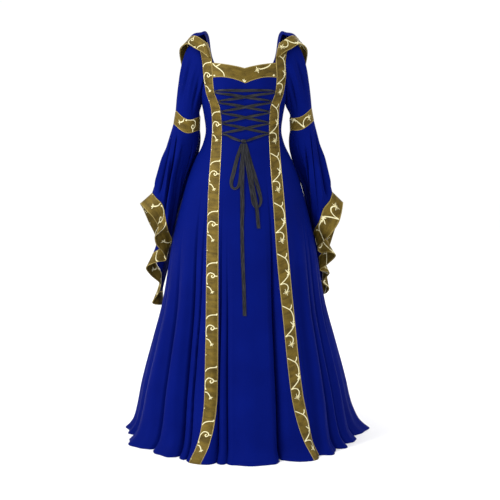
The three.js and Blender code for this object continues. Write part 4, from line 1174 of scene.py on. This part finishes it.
@dataclass
class Sleeve:
    """One sleeve: gathered upper part, gold armband, bell and gold cuff band.

    Attributes:
        armband: inner and outer x, height of its inner and outer top, width, depth and dip.
        bell: angle from the outside, then the seam's and the hem's x, y and height.
        swing: how far the inner side of the bell swings in and back.
        folds: angle, start and end along the upper sleeve, half width and depth.
        bell_folds: angle, start along the bell, half width and depth.
        swing_middle: angle of the inner side.
        swing_reach: how far round from it the swing goes.
        swing_end: share of the bell's length below which it has ended.
        bell_fullness: how many times as deep as bell_folds the folds are.
        band_y: how far behind the shoulder's middle the armband hangs.
        spread: how much wider the armband's lower edge is.
        band_gap: gap at the armband's edges as a share of its width.
    """

    side: Side
    finishes: Wardrobe
    armband: tuple[float, ...]
    bell: Table
    swing: tuple[float, float]
    folds: Table = (
        (20, 0.05, 0.95, 15, 4.6), (56, 0.1, 1.0, 11, -7.4), (84, 0.1, 0.85, 12, 5.2),
        (114, 0.05, 1.0, 10, -7.2), (150, 0.0, 0.75, 14, -4.6), (205, 0.1, 0.9, 16, 4.4),
        (248, 0.2, 1.0, 14, -4.8), (292, 0.0, 0.85, 16, 4.4), (330, 0.35, 1.0, 13, -4.4),
    )
    bell_folds: Table = (
        (8, 0.25, 8, 5.0), (22, 0.06, 6, -8.0), (38, 0.3, 7, 5.4), (52, 0.02, 5, -10.0),
        (66, 0.2, 7, 5.6), (82, 0.1, 6, -9.0), (99, 0.3, 7, 4.5), (117, 0.05, 6, -7.6),
        (150, 0.2, 8, -4.0), (200, 0.2, 7, -4.5), (226, 0.3, 7, 3.5), (252, 0.1, 7, -5.0),
        (280, 0.2, 7, 4.0), (306, 0.1, 7, -5.0), (334, 0.25, 7, -4.0),
    )
    swing_middle: float = 165.0
    swing_reach: float = 110.0
    swing_end: float = 0.5
    bell_fullness: float = 1.8
    band_y: float = 8.0
    spread: float = 8.0
    band_gap: float = 0.008
    trims: list[Trim] = field(default_factory=list)

    def ring(self, around: Array, low: float = 0.0) -> Array:
        """Returns the armband's upper or lower edge, once around from the outside."""
        inner, outer, top_inner, top_outer, foot, deep, dip = self.armband
        out, forward = np.cos(TAU * around), np.sin(TAU * around)
        grow = low * self.spread
        centre, reach = (inner + outer) / 2 + grow * 0.6, (outer - inner) / 2
        level = (top_inner + top_outer) / 2 + out * (top_outer - top_inner) / 2
        sag = dip * np.maximum(0, forward) ** 3
        return np.stack([self.side.sign * (centre + out * (reach + grow * 0.4)),
                         self.band_y - forward * (deep + grow * 0.5), level - sag - low * foot], axis=-1)

    def upper(self) -> None:
        """Makes the upper sleeve with its soft lengthwise folds."""
        u, v = np.arange(96) / 96, np.linspace(0, 1, 46)[:, None, None]
        turn = TAU * u
        out, forward = np.cos(turn), np.sin(turn)
        start, end = BODY.armhole(self.side, u), self.ring(u)
        leave = np.stack([self.side.sign * (20 + 18 * out), -8 * forward, -4 + 12 * out], axis=-1)
        arrive = np.stack([-self.side.sign * 8 * out, 0 * out, 62 + 48 * out], axis=-1)
        a, b, c, d = start[None], (start + leave)[None], (end + arrive)[None], end[None]
        w = 1 - v
        points = w**3 * a + 3 * w * w * v * b + 3 * w * v * v * c + v**3 * d
        face = Face(points, self.side.sign, closed=True)
        depth = np.zeros(points.shape[:2])
        share = v[..., 0]
        for at, low, high, wide, out_by in self.folds:
            reach = bump((share - (low + high) / 2) / ((high - low) / 2 + 1e-6))
            depth += out_by * reach * bump(turn_between(np.degrees(turn), at) / wide)[None, :]
        face = face.moved(depth * np.sin(np.pi * share))
        word = self.side.word
        self.finishes.sheet(f"sleeve_cloth_{word}", f"sleeve_upper_{word}", face, False,
                            [f"back_{word}"], CLOTH)

    def gold_ring(self) -> None:
        """Makes the armband."""
        u, v = np.arange(96) / 96, np.linspace(0, 1, 12)[:, None, None]
        top, low = self.ring(u), self.ring(u, 1.0)
        start, end = top + (low - top) * self.band_gap, low + (top - low) * self.band_gap
        points = start[None] * (1 - v) + end[None] * v
        word = self.side.word
        face = Face(points, self.side.sign, closed=True)
        self.finishes.sheet(f"armband_cloth_{word}", f"armband_{word}", face, True,
                            [f"sleeve_upper_{word}"], BAND)
        self.trims.append(Trim(f"armband_{word}", face, BAND / 2, flip=True))

    def drop(self, around: Array, v: Array) -> Array:
        """Returns how far the inner side of the bell swings in and back.

        Args:
            around: degrees round the ring from its outside.
            v: share of the way from the armband to the hem's seam.

        Returns:
            The shift in millimetres of each point.
        """
        inward, back = self.swing
        turned = (around - self.swing_middle) / self.swing_reach
        share = np.where(np.abs(turned) < 1, np.cos(np.clip(turned, -1, 1) * math.pi / 2) ** 2, 0.0)
        fall = np.clip(v / self.swing_end, 0, 1)
        depth = share[None, :, None] * SWING_PEAK * fall * (1 - fall) ** 2
        return depth * np.array([-self.side.sign * inward, back, 0.0])

    def bell_depth(self, around: Array, share: Array) -> Array:
        """Returns the depth of the bell's lengthwise folds, which fade out at both seams."""
        depth = np.zeros(np.broadcast(around[None], share).shape)
        for at, low, wide, out_by in self.bell_folds:
            reach = smoothstep((share - low) / 0.3) * smoothstep((1 - share) / 0.2)
            hump = bump(turn_between(around, at) / wide)[None]
            depth = depth + self.bell_fullness * out_by * reach * hump
        return depth

    def hanging(self) -> None:
        """Makes the bell and the gold cuff band along its hem."""
        rows = np.array(self.bell)
        sign = np.array([self.side.sign, 1, 1])
        count = len(rows)
        k = np.arange(count * 8) / (count * 8)
        turns = SmoothColumn(np.arange(count + 1), np.append(rows[:, 0], 360.0))
        around = turns(k * count)
        ring = self.ring(around / 360, 1.0)
        seam = SoftPath(rows[:, 1:4] * sign, closed=True).at(k)
        hem = SoftPath(rows[:, 4:7] * sign, closed=True).at(k)
        v = np.linspace(0, 1, 44)[:, None, None]
        fall = ring[None] * (1 - v) + seam[None] * v + self.drop(around, v)
        bell = Face(fall, self.side.sign, closed=True)
        bell.points = bell.points + (ring - seam)[None] * 0.0015 * (v - 0.3)
        bell = bell.moved(self.bell_depth(around, v[..., 0]))
        t = np.linspace(0.02, 1, 12)[:, None, None]
        cuff = Face(seam[None] * (1 - t) + hem[None] * t, self.side.sign, closed=True)
        word = self.side.word
        make = self.finishes.sheet
        make(f"bell_cloth_{word}", f"sleeve_bell_{word}", bell, False, [f"armband_{word}"], CLOTH)
        make(f"cuff_cloth_{word}", f"cuff_band_{word}", cuff, True, [f"sleeve_bell_{word}"], BAND)
        inside = Face(cuff.points, -cuff.facing, closed=True)
        self.trims.append(Trim(f"cuff_{word}", cuff, BAND / 2, flip=True))
        self.trims.append(Trim(f"cuff_inside_{word}", inside, BAND / 2, flip=True))


@dataclass
class Hood:
    """The hood thrown back: sections from the front neck corner to the centre back.

    Attributes:
        sections: place on the neckline as x, height and 1 for the back, then crest, lowest point
            and free edge as x, y and height, and how far the cloth bellies out.
        band_width: width of the gold edge band.
        cloth_start: section at which the blue cloth begins.
    """

    finishes: Wardrobe
    sections: Sequence[tuple[Triple | float, ...]] = (
        ((109, 1312, 0), (112, -73, 1308), (114, -74, 1309), (118, -75, 1306), 0),
        ((116.5, 1364, 0), (122, -60, 1340), (130, -61, 1339), (139, -60, 1324), 0),
        ((124, 1440, 0), (134, -22, 1372), (147, -36, 1367), (162, -50, 1336), 1),
        ((122, 1392, 1), (132, 16, 1398), (164, -2, 1390), (191, -32, 1353), 2),
        ((115, 1338, 1), (126, 46, 1394), (177, 32, 1384), (217, 2, 1340), 3),
        ((108, 1289, 1), (119, 72, 1345), (166, 80, 1328), (219, 46, 1302), 4),
        ((86, 1262, 1), (101, 92, 1288), (126, 113, 1200), (200, 98, 1240), 10),
        ((42, 1252, 1), (50, 104, 1270), (68, 124, 1080), (128, 161, 1180), 22),
        ((0.15, 1250, 1), (0.15, 110, 1266), (0.3, 128, 1045), (0.15, 183, 1162), 28),
    )
    band_width: float = 44.0
    cloth_start: float = 2.5
    trims: list[Trim] = field(default_factory=list)

    def section_curves(self, side: Side, at: Array) -> list[Array]:
        """Returns one dense line from the neck to the free edge for each place along the hood."""
        sign = np.array([side.sign, 1, 1])
        last = len(self.sections) - 1
        neck = []
        for (x, s, back), *_ in self.sections:
            theta = side.sign * BODY.angle(np.array(float(x)), np.array(float(s)), bool(back))
            lift = BAND / 2 + CLOTH / 2 + SEAM
            neck.append(BODY.place(theta, s) + BODY.normal(theta, np.array(float(s))) * lift)
        tables = [np.array(neck)]
        tables += [np.array([row[c] for row in self.sections]) * sign for c in (1, 2, 3)]
        start, crest, low, end = (SoftPath(table).at(at / last) for table in tables)
        belly = SmoothColumn(range(last + 1), [row[4] for row in self.sections])(at)
        lay = crest + (low - crest) * 0.45
        swell = low + (end - low) * 0.42 + np.stack([0 * belly, belly, 0 * belly], axis=1)
        dense = np.linspace(0, 1, 401)
        sections = zip(start, crest, lay, low, swell, end)
        return [SoftPath(np.array(points)).at(dense) for points in sections]

    def build(self, side: Side) -> None:
        """Makes the blue cloth and the gold edge band of one side."""
        word = side.word
        last = len(self.sections) - 1
        at = np.linspace(self.cloth_start, last, 67)
        columns = []
        for line in self.section_curves(side, at):
            length = steps(line).sum()
            columns.append(by_length(line, np.linspace(0, 1 - (self.band_width + 0.4) / length, 64)))
        cloth = Face(np.stack(columns, axis=1), side.sign)
        cloth = cloth.moved(self.creases(cloth.points))
        make = self.finishes.sheet
        make(f"hood_cloth_{word}", f"hood_{word}", cloth, False, [f"back_{word}"], CLOTH, "draped")
        columns = []
        for line in self.section_curves(side, np.linspace(0, last, 97)):
            length = steps(line).sum()
            width = min(self.band_width, length)
            columns.append(by_length(line, np.linspace(1 - width / length, 1, 12)))
        band = Face(np.stack(columns, axis=1), side.sign)
        make(f"hood_edge_{word}", f"hood_band_{word}", band, True, [f"hood_{word}"], BAND, "draped")
        self.trims.append(Trim(f"hood_{word}", band, BAND / 2, flip=True))
        inside = Face(band.points, -band.facing)
        self.trims.append(Trim(f"hood_inside_{word}", inside, BAND / 2, flip=True))

    def creases(self, points: Array) -> Array:
        """Returns the depth of soft creases where the thrown-back cloth hangs."""
        x, y, z = (points[..., k] for k in range(3))
        fan = np.sin(np.arctan2(np.abs(x), 1420 - z) * 15 + 0.6)
        hang = smoothstep((1385 - z) / 60) * smoothstep((y - 60) / 40)
        return 2.2 * fan * hang * smoothstep(np.abs(x) / 14)


@dataclass
class Lacing:
    """The satin lace: ten thread loops, crossed strands, knot, bow loops and two free ends."""

    finishes: Wardrobe
    heights: Sequence[float] = (1190, 1158, 1124, 1087, 1050)
    thickness: float = 0.6
    fuller: float = 1.35
    bow_fuller: float = 1.1
    thread: float = 0.9
    knot: tuple[float, ...] = (1, 1024, 19, 13, 7.6, 5.6)
    bow_right: Table = (
        (-5, 1016, 2.1, 6), (-20, 970, 2.1, 8), (-32, 922, 2.2, 9), (-40, 888, 2.4, 8), (-37, 872, 2.6, 6),
        (-28, 867, 2.9, 5), (-18, 873, 3.2, 6), (-11, 893, 3.6, 8), (-7, 935, 3.8, 8), (-3, 980, 3.8, 7),
        (-3, 1016, 3.8, 5),
    )
    bow_left: Table = (
        (8, 1016, 2.1, 6), (24, 955, 2.1, 8), (41, 898, 2.2, 9), (55, 848, 2.4, 8), (58, 826, 2.6, 7),
        (53, 810, 2.9, 5), (43, 806, 3.2, 6), (34, 818, 3.6, 8), (27, 860, 4.0, 8), (17, 920, 4.6, 8),
        (8, 980, 5.2, 7), (6, 1016, 5.2, 5),
    )
    tail_long: Table = (
        (-2, 1016, 6.8, 7), (-2, 950, 6.0, 9), (-4, 880, 5.2, 10), (-3, 815, 3.6, 10), (-4, 750, 2.6, 9),
        (-2, 640, 2.6, 9), (2, 545, 2.6, 9), (5, 456, 2.6, 9),
    )
    tail_short: Table = (
        (6, 1016, 6.8, 6), (18, 945, 6.6, 8), (29, 885, 6.4, 9), (38, 835, 6.0, 9), (45, 795, 4.6, 9),
        (48, 765, 2.8, 9), (51, 737, 2.6, 9),
    )

    def strand(self, name: str, rows: Table, step: float = 4.0,
               fuller: float = 1.0) -> tuple[Mesh, Array]:
        """Makes a ribbon through rows of x, height, lift and width on the front of the body.

        Args:
            name: name of the ribbon.
            rows: its table.
            step: distance between its sections in millimetres.
            fuller: factor on the widths of the table.

        Returns:
            The mesh, and its middle line in millimetres.
        """
        table = np.array(rows, float)
        path = SoftPath(table[:, :3])
        flat = path.at(np.linspace(0, 1, 60 * len(table)))
        run = reached(flat)
        count = max(8, int(run[-1] / step))
        share = np.interp(np.linspace(0, run[-1], count), run, np.linspace(0, 1, len(run)))
        wide = SmoothColumn(range(len(table)), table[:, 3])(share * (len(table) - 1)) * fuller
        spot = path.at(share)
        middle, normal = BODY.on_front(spot[:, 0], spot[:, 1], spot[:, 2])
        sideways = unit(np.cross(np.gradient(middle, axis=0), normal))
        across = np.linspace(-1, 1, 7)
        camber = 0.35 * (1 - across**2)
        points = (middle[:, None] + sideways[:, None] * (across[None, :, None] * wide[:, None, None] / 2)
                  + normal[:, None] * camber[None, :, None])
        selvedge = self.thickness + 0.25 * (np.abs(across) > 0.9)
        face = Face(points, 1)
        facing = np.sum(face.normals()[1, 3] * normal[1])
        face.facing = 1 if facing > 0 else -1
        mesh = cloth_mesh(name, face, np.broadcast_to(selvedge, points.shape[:2]))
        return mesh, middle

    def free_end(self, name: str, node: str, rows: Table) -> None:
        """Makes a hanging end of the lace, a free cord with a bare cut end."""
        mesh, middle = self.strand(name, rows, fuller=self.fuller)
        piece = self.finishes.ribbon(name, mesh, node)

    def loop_x(self, side: Side, s: float) -> float:
        """Returns the x of a band's inner edge."""
        return float(BODY.centre[side](s) - side.sign * BODY.width(s) / 2)

    def half(self, first: Side) -> list[tuple[float, ...]]:
        """Returns the rows of one half of the lace, which changes sides at each level."""
        under, over = 2.4, 6.2
        rows: list[tuple[float, ...]] = []
        side = first
        for level, s in enumerate(self.heights):
            inward, edge = -side.sign, self.loop_x(side, s)
            high = (first is Side.LEFT) == (level % 2 == 0)
            rows += [(edge + inward * 15, s + 4.2, under, 6), (edge + inward * 8.5, s + 3.1, under, 4),
                     (edge + inward * 4, s, 4.1, 2.8), (edge + inward * 8.5, s - 3.1, over, 4),
                     (edge + inward * 17, s - 4.8, over - 0.3, 6)]
            side = Side(-side.sign)
            if level + 1 == len(self.heights):
                return rows
            after = self.heights[level + 1]
            reach = self.loop_x(side, after)
            for along in (inward * -30, inward * 30):
                slope = (after - s) / (reach - edge)
                rows.append(((edge + reach) / 2 + along, (s + after) / 2 + along * slope,
                             4.6 if high else 2.6, 9))
        return rows

    def laced(self) -> None:
        """Makes the laced ribbon from the knot up one side, across the top and down the other."""
        left, right = self.half(Side.LEFT), self.half(Side.RIGHT)
        x, s, wide = self.knot[:3]
        ends = []
        for row in (right[-1], left[-1]):
            out = 1 if row[0] > x else -1
            ends.append([(x + out * 36, (row[1] + s) / 2, 4.2, 9),
                         (x + out * (wide / 2 + SEAM + 0.8), s + 1, self.knot[5], 7)])
        crossing = (5, self.heights[0] + 4, 2.6, 10)
        rows = [*ends[0][::-1], *right[::-1], crossing, *left, *ends[1]]
        mesh, _ = self.strand("lace_ribbon", rows, 2.6)
        self.finishes.ribbon("lace_ribbon", mesh, "lace")

    def tube(self, name: str, line: Array, radius: float, sides: int = 8) -> Mesh:
        """Returns a round thread along a line in millimetres, closed at both ends."""
        tangent = unit(np.gradient(line, axis=0))
        side = unit(np.cross(tangent, np.array([0.0, -1.0, 0.05])))
        up = np.cross(side, tangent)
        a = np.arange(sides) * TAU / sides
        ring = np.cos(a)[None, :, None] * side[:, None] + np.sin(a)[None, :, None] * up[:, None]
        points = (line[:, None] + ring * radius).reshape(-1, 3)
        n = len(line)
        faces = round_faces(n - 1, sides)
        faces += [list(range(sides))[::-1], [(n - 1) * sides + i for i in range(sides)]]
        return make_mesh(name, in_frame(points), faces)

    def loops(self) -> None:
        """Makes the thread loops that stand out from the bands' inner edges."""
        reach, half, lift, root, low = 10.5, 6.5, 4.6, -2.6, 2.7
        for side in Side:
            for level, s in enumerate(self.heights):
                rows = np.array([
                    (root, half, low), (1, half, low + 0.5), (reach * 0.72, half * 0.72, lift),
                    (reach, 0, lift), (reach * 0.72, -half * 0.72, lift), (1, -half, low + 0.5),
                    (root, -half, low)], float)
                flat = SoftPath(rows).at(np.linspace(0, 1, 33))
                x = self.loop_x(side, s) - side.sign * flat[:, 0]
                line, _ = BODY.on_front(x, s + flat[:, 1], flat[:, 2])
                name = f"thread_loop_{side.word}_{level + 1}"
                self.finishes.ribbon(name, self.tube(name, line, self.thread),
                                     f"lace_loop_{side.word}_{level + 1}")

    def soft(self, value: Array) -> Array:
        """Returns sines and cosines pressed outwards, for a form between a ball and a box."""
        return np.sign(value) * np.abs(value) ** 0.7

    def tied(self) -> None:
        """Makes the knot: a pillow of ribbon with a turn of ribbon drawn tight round it."""
        x, s, wide, tall, deep, lift = self.knot
        centre, normal = (a[0] for a in BODY.on_front(*(np.array([float(c)]) for c in (x, s, lift))))
        across = unit(np.cross([0.0, 0.0, 1.0], normal))
        upright = np.cross(normal, across)
        rings, n = 24, 40
        lat = np.linspace(-math.pi / 2, math.pi / 2, rings + 1)[:, None]
        lon = np.arange(n)[None, :] * TAU / n
        a = self.soft(np.cos(lat)) * self.soft(np.cos(lon)) * wide / 2
        b = self.soft(np.cos(lat)) * self.soft(np.sin(lon)) * tall / 2
        c = (self.soft(np.sin(lat)) + 0 * lon) * deep / 2
        groove = 1 - 0.16 * np.exp(-((np.abs(a) - wide * 0.24) / 0.9) ** 2)
        b, c = b * groove, c * groove
        c = c + 0.25 * np.sin(b * 1.7 + a * 0.6) * (np.abs(a) < wide * 0.24)
        points = centre + a[..., None] * across + b[..., None] * upright + c[..., None] * normal
        points = points.reshape(-1, 3)
        mesh = make_mesh("lace_knot_ribbon", in_frame(points), round_faces(rings, n))
        spots = np.stack([b.reshape(-1), a.reshape(-1)], axis=1) * MM
        index = np.empty(len(mesh.loops), int)
        mesh.loops.foreach_get("vertex_index", index)
        lay_flat(mesh, "cloth", spots[index])
        self.finishes.ribbon("lace_knot_ribbon", mesh, "lace_knot")

    def bows(self) -> None:
        """Makes the two bow loops."""
        for word, rows in (("right", self.bow_right), ("left", self.bow_left)):
            name = f"bow_ribbon_{word}"
            mesh, _ = self.strand(name, rows, fuller=self.bow_fuller * self.fuller)
            self.finishes.ribbon(name, mesh, f"bow_loop_{word}")


@dataclass
class Embroidery:
    """What is sewn on the gold bands: the vine, the edge piping and the seam stitches."""

    finishes: Wardrobe
    piping: float = 0.0009
    stitch_gap: float = 0.0042
    piping_at: float = 0.955
    stitches_at: float = 0.87
    end_gap: float = 0.0002

    def design(self, trim: Trim) -> Vine:
        """Returns the design that a band carries."""
        if trim.name == "yoke":
            return Vine.YOKE
        return Vine.SCROLL if trim.name.endswith("right") else Vine.FLOWER

    def decorate(self, trims: Sequence[Trim]) -> None:
        """Sews each band's vine, piping and stitches."""
        laid, corded = LaidOn("laid_on_cloth", False), LaidOn("cord_on_cloth", True)
        stitch = StitchMotif().build()
        for trim in trims:
            band = trim.carrier()
            length = trim.length()
            vine = VINES[self.design(trim)]
            count = max(1, math.ceil((length - vine.start) / vine.repeat - 0.1))
            motif = vine.build()
            mesh = laid.sew(f"vine_{trim.name}", motif, band, self.finishes.vine, vine.repeat,
                            count, vine.start)
            settle(link(f"vine_{trim.name}", mesh), self.finishes.vine, "gold_brocade")
            parts = []
            for edge in (-self.piping_at, self.piping_at):
                line = line_mesh("edge_line", length - 2 * self.end_gap)
                parts.append(corded.sew(f"piping_{trim.name}", line, band, self.finishes.piping, 1.0, 1,
                                        self.end_gap, edge * trim.half, self.piping))
            self.join(f"piping_{trim.name}", parts, self.finishes.piping)
            rows = int(length / self.stitch_gap) - 1
            parts = [laid.sew(f"stitches_{trim.name}", stitch.copy(), band, self.finishes.piping,
                              self.stitch_gap, rows, self.stitch_gap / 2, edge * trim.half)
                     for edge in (-self.stitches_at, self.stitches_at)]
            self.join(f"stitches_{trim.name}", parts, self.finishes.piping)
            bpy.data.objects.remove(band)

    def join(self, name: str, meshes: Sequence[Mesh], finish: Material) -> None:
        """Joins meshes into one piece."""
        points, faces, shift = [], [], 0
        for mesh in meshes:
            points += [tuple(v.co) for v in mesh.vertices]
            faces += [[v + shift for v in p.vertices] for p in mesh.polygons]
            shift = len(points)
        settle(link(name, make_mesh(name, np.array(points), faces)), finish, "gold_brocade")


@dataclass(frozen=True)
class Studio:
    """Plain pale floor, soft studio light and the camera at the photograph's height."""

    camera_place: Triple = (0.0224, -4.0, -0.26)
    aim: Triple = (0.0224, 0.0, -0.716)
    lit: Triple = (0.0, 0.0, -0.6)
    lens: float = 82.8
    floor_z: float = -1.3605

    def stand(self, name: str, data: ID, place: Sequence[float], aim: Sequence[float]) -> Object:
        """Returns a camera or lamp at a place, turned to what it is aimed at."""
        stood = bpy.data.objects.new(name, data)
        bpy.context.scene.collection.objects.link(stood)
        stood.location = place
        way = Vector(aim) - Vector(place)
        stood.rotation_mode = "QUATERNION"
        stood.rotation_quaternion = way.to_track_quat("-Z", "Y")
        return stood

    def camera(self) -> None:
        """Makes the camera."""
        data = bpy.data.cameras.new("camera")
        data.lens, data.sensor_width = self.lens, 36.0
        bpy.context.scene.camera = self.stand("camera", data, self.camera_place, self.aim)

    def lamp(self, name: str, place: Sequence[float], size: float, power: float) -> None:
        """Makes one large soft light aimed at the gown."""
        data = bpy.data.lights.new(name, "AREA")
        data.size, data.energy = size, power
        self.stand(name, data, place, self.lit)

    def build(self) -> None:
        """Makes the floor, the lights and the pale surround."""
        floor = bpy.data.meshes.new("floor")
        floor.from_pydata([(-9, -9, self.floor_z), (9, -9, self.floor_z), (9, 9, self.floor_z),
                           (-9, 9, self.floor_z)], [], [(0, 1, 2, 3)])
        piece = link("floor", floor)
        material, nodes, shader = new_material("pale_floor")
        nodes.fill(shader, {"Base Color": (1.0, 1.0, 1.0, 1), "Roughness": 1.0, "Specular IOR Level": 0.0})
        floor.materials.append(material)
        self.lamp("key_light", (-2.7, -1.9, 1.4), 0.9, 90)
        self.lamp("fill_light", (2.6, -2.4, 0.4), 2.2, 8)
        self.lamp("back_light", (0.6, 3.0, 1.6), 2.0, 40)
        world = bpy.data.worlds.new("pale_world")
        world.use_nodes = True
        ground = world.node_tree.nodes["Background"]
        ground.inputs[0].default_value = (1.0, 1.0, 1.0, 1)
        ground.inputs[1].default_value = 1.02
        bpy.context.scene.world = world
        bpy.context.scene.view_settings.view_transform = "Standard"


def main() -> None:
    """Builds the gown in order: camera, cords, cloth, trim and light."""
    logging.basicConfig(level=logging.INFO, format="%(name)s %(message)s")
    studio = Studio()
    studio.camera()
    finishes = Wardrobe()
    lacing = Lacing(finishes)
    lacing.free_end("lace_end_long", "lace_tail_long", lacing.tail_long)
    lacing.free_end("lace_end_short", "lace_tail_short", lacing.tail_short)
    gown = Gown(finishes)
    gown.front()
    hood = Hood(finishes)
    trims: list[Trim] = []
    for side in Side:
        gown.side(side)
        sleeve = Sleeve(side, finishes, *SLEEVES[side], SWINGS[side])
        sleeve.upper()
        sleeve.gold_ring()
        sleeve.hanging()
        hood.build(side)
        trims += sleeve.trims
    lacing.loops()
    lacing.laced()
    lacing.tied()
    lacing.bows()
    Embroidery(finishes).decorate([*gown.trims, *hood.trims, *trims])
    studio.build()
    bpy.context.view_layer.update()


SWINGS = {Side.RIGHT: (18, 14), Side.LEFT: (18, 20)}
SLEEVES = {
    Side.RIGHT: ((150, 234, 1108, 1130, 47, 45, 20), (
        (0, 317, 0, 844, 359, -8, 806), (18, 300, -32, 829, 333, -36, 783),
        (36, 281, -37, 810, 312, -43, 760), (54, 271, -33, 771, 295, -31, 725),
        (72, 264, -46, 739, 299, -39, 707), (90, 261, 8, 708, 311, -3, 688),
        (106, 253, 36, 681, 306, 9, 661), (120, 256, 45, 665, 283, 18, 631),
        (134, 268, 52, 650, 275, 43, 602), (148, 296, 45, 644, 308, 36, 596),
        (160, 322, 55, 623, 345, 41, 577), (172, 314, 78, 590, 332, 69, 545),
        (184, 297, 85, 556, 299, 87, 508), (196, 300, 100, 522, 309, 92, 474),
        (206, 310, 109, 486, 330, 103, 439), (214, 303, 123, 480, 308, 113, 431),
        (222, 296, 139, 481, 293, 140, 433), (234, 299, 159, 519, 316, 163, 473),
        (248, 285, 159, 572, 298, 173, 526), (266, 296, 154, 640, 323, 162, 602),
        (288, 290, 130, 706, 318, 148, 668), (314, 302, 87, 769, 342, 108, 735),
        (338, 319, 40, 824, 356, 50, 785),
    )),
    Side.LEFT: ((160, 235, 1103, 1138, 44, 44, 12), (
        (0, 308, 0, 847, 346, -8, 810), (18, 298, -24, 821, 339, -36, 775),
        (36, 275, -35, 793, 330, -41, 745), (54, 260, -50, 750, 305, -49, 708),
        (72, 248, -10, 722, 279, -20, 676), (90, 247, 18, 700, 262, 9, 650),
        (104, 263, 25, 691, 269, 33, 631), (118, 288, 28, 681, 305, 22, 633),
        (130, 298, 47, 660, 325, 33, 620), (144, 284, 64, 635, 299, 54, 587),
        (158, 269, 75, 608, 271, 61, 564), (170, 289, 85, 592, 306, 70, 554),
        (182, 284, 103, 561, 284, 90, 517), (194, 299, 117, 539, 308, 112, 491),
        (204, 297, 128, 520, 299, 125, 472), (213, 282, 137, 516, 285, 135, 468),
        (224, 276, 157, 529, 279, 161, 483), (240, 290, 164, 576, 303, 174, 532),
        (258, 284, 153, 636, 299, 163, 592), (278, 288, 135, 701, 319, 153, 665),
        (306, 298, 98, 766, 334, 103, 730), (334, 308, 44, 825, 345, 51, 787),
    )),
}


if __name__ == "__main__":
    main()
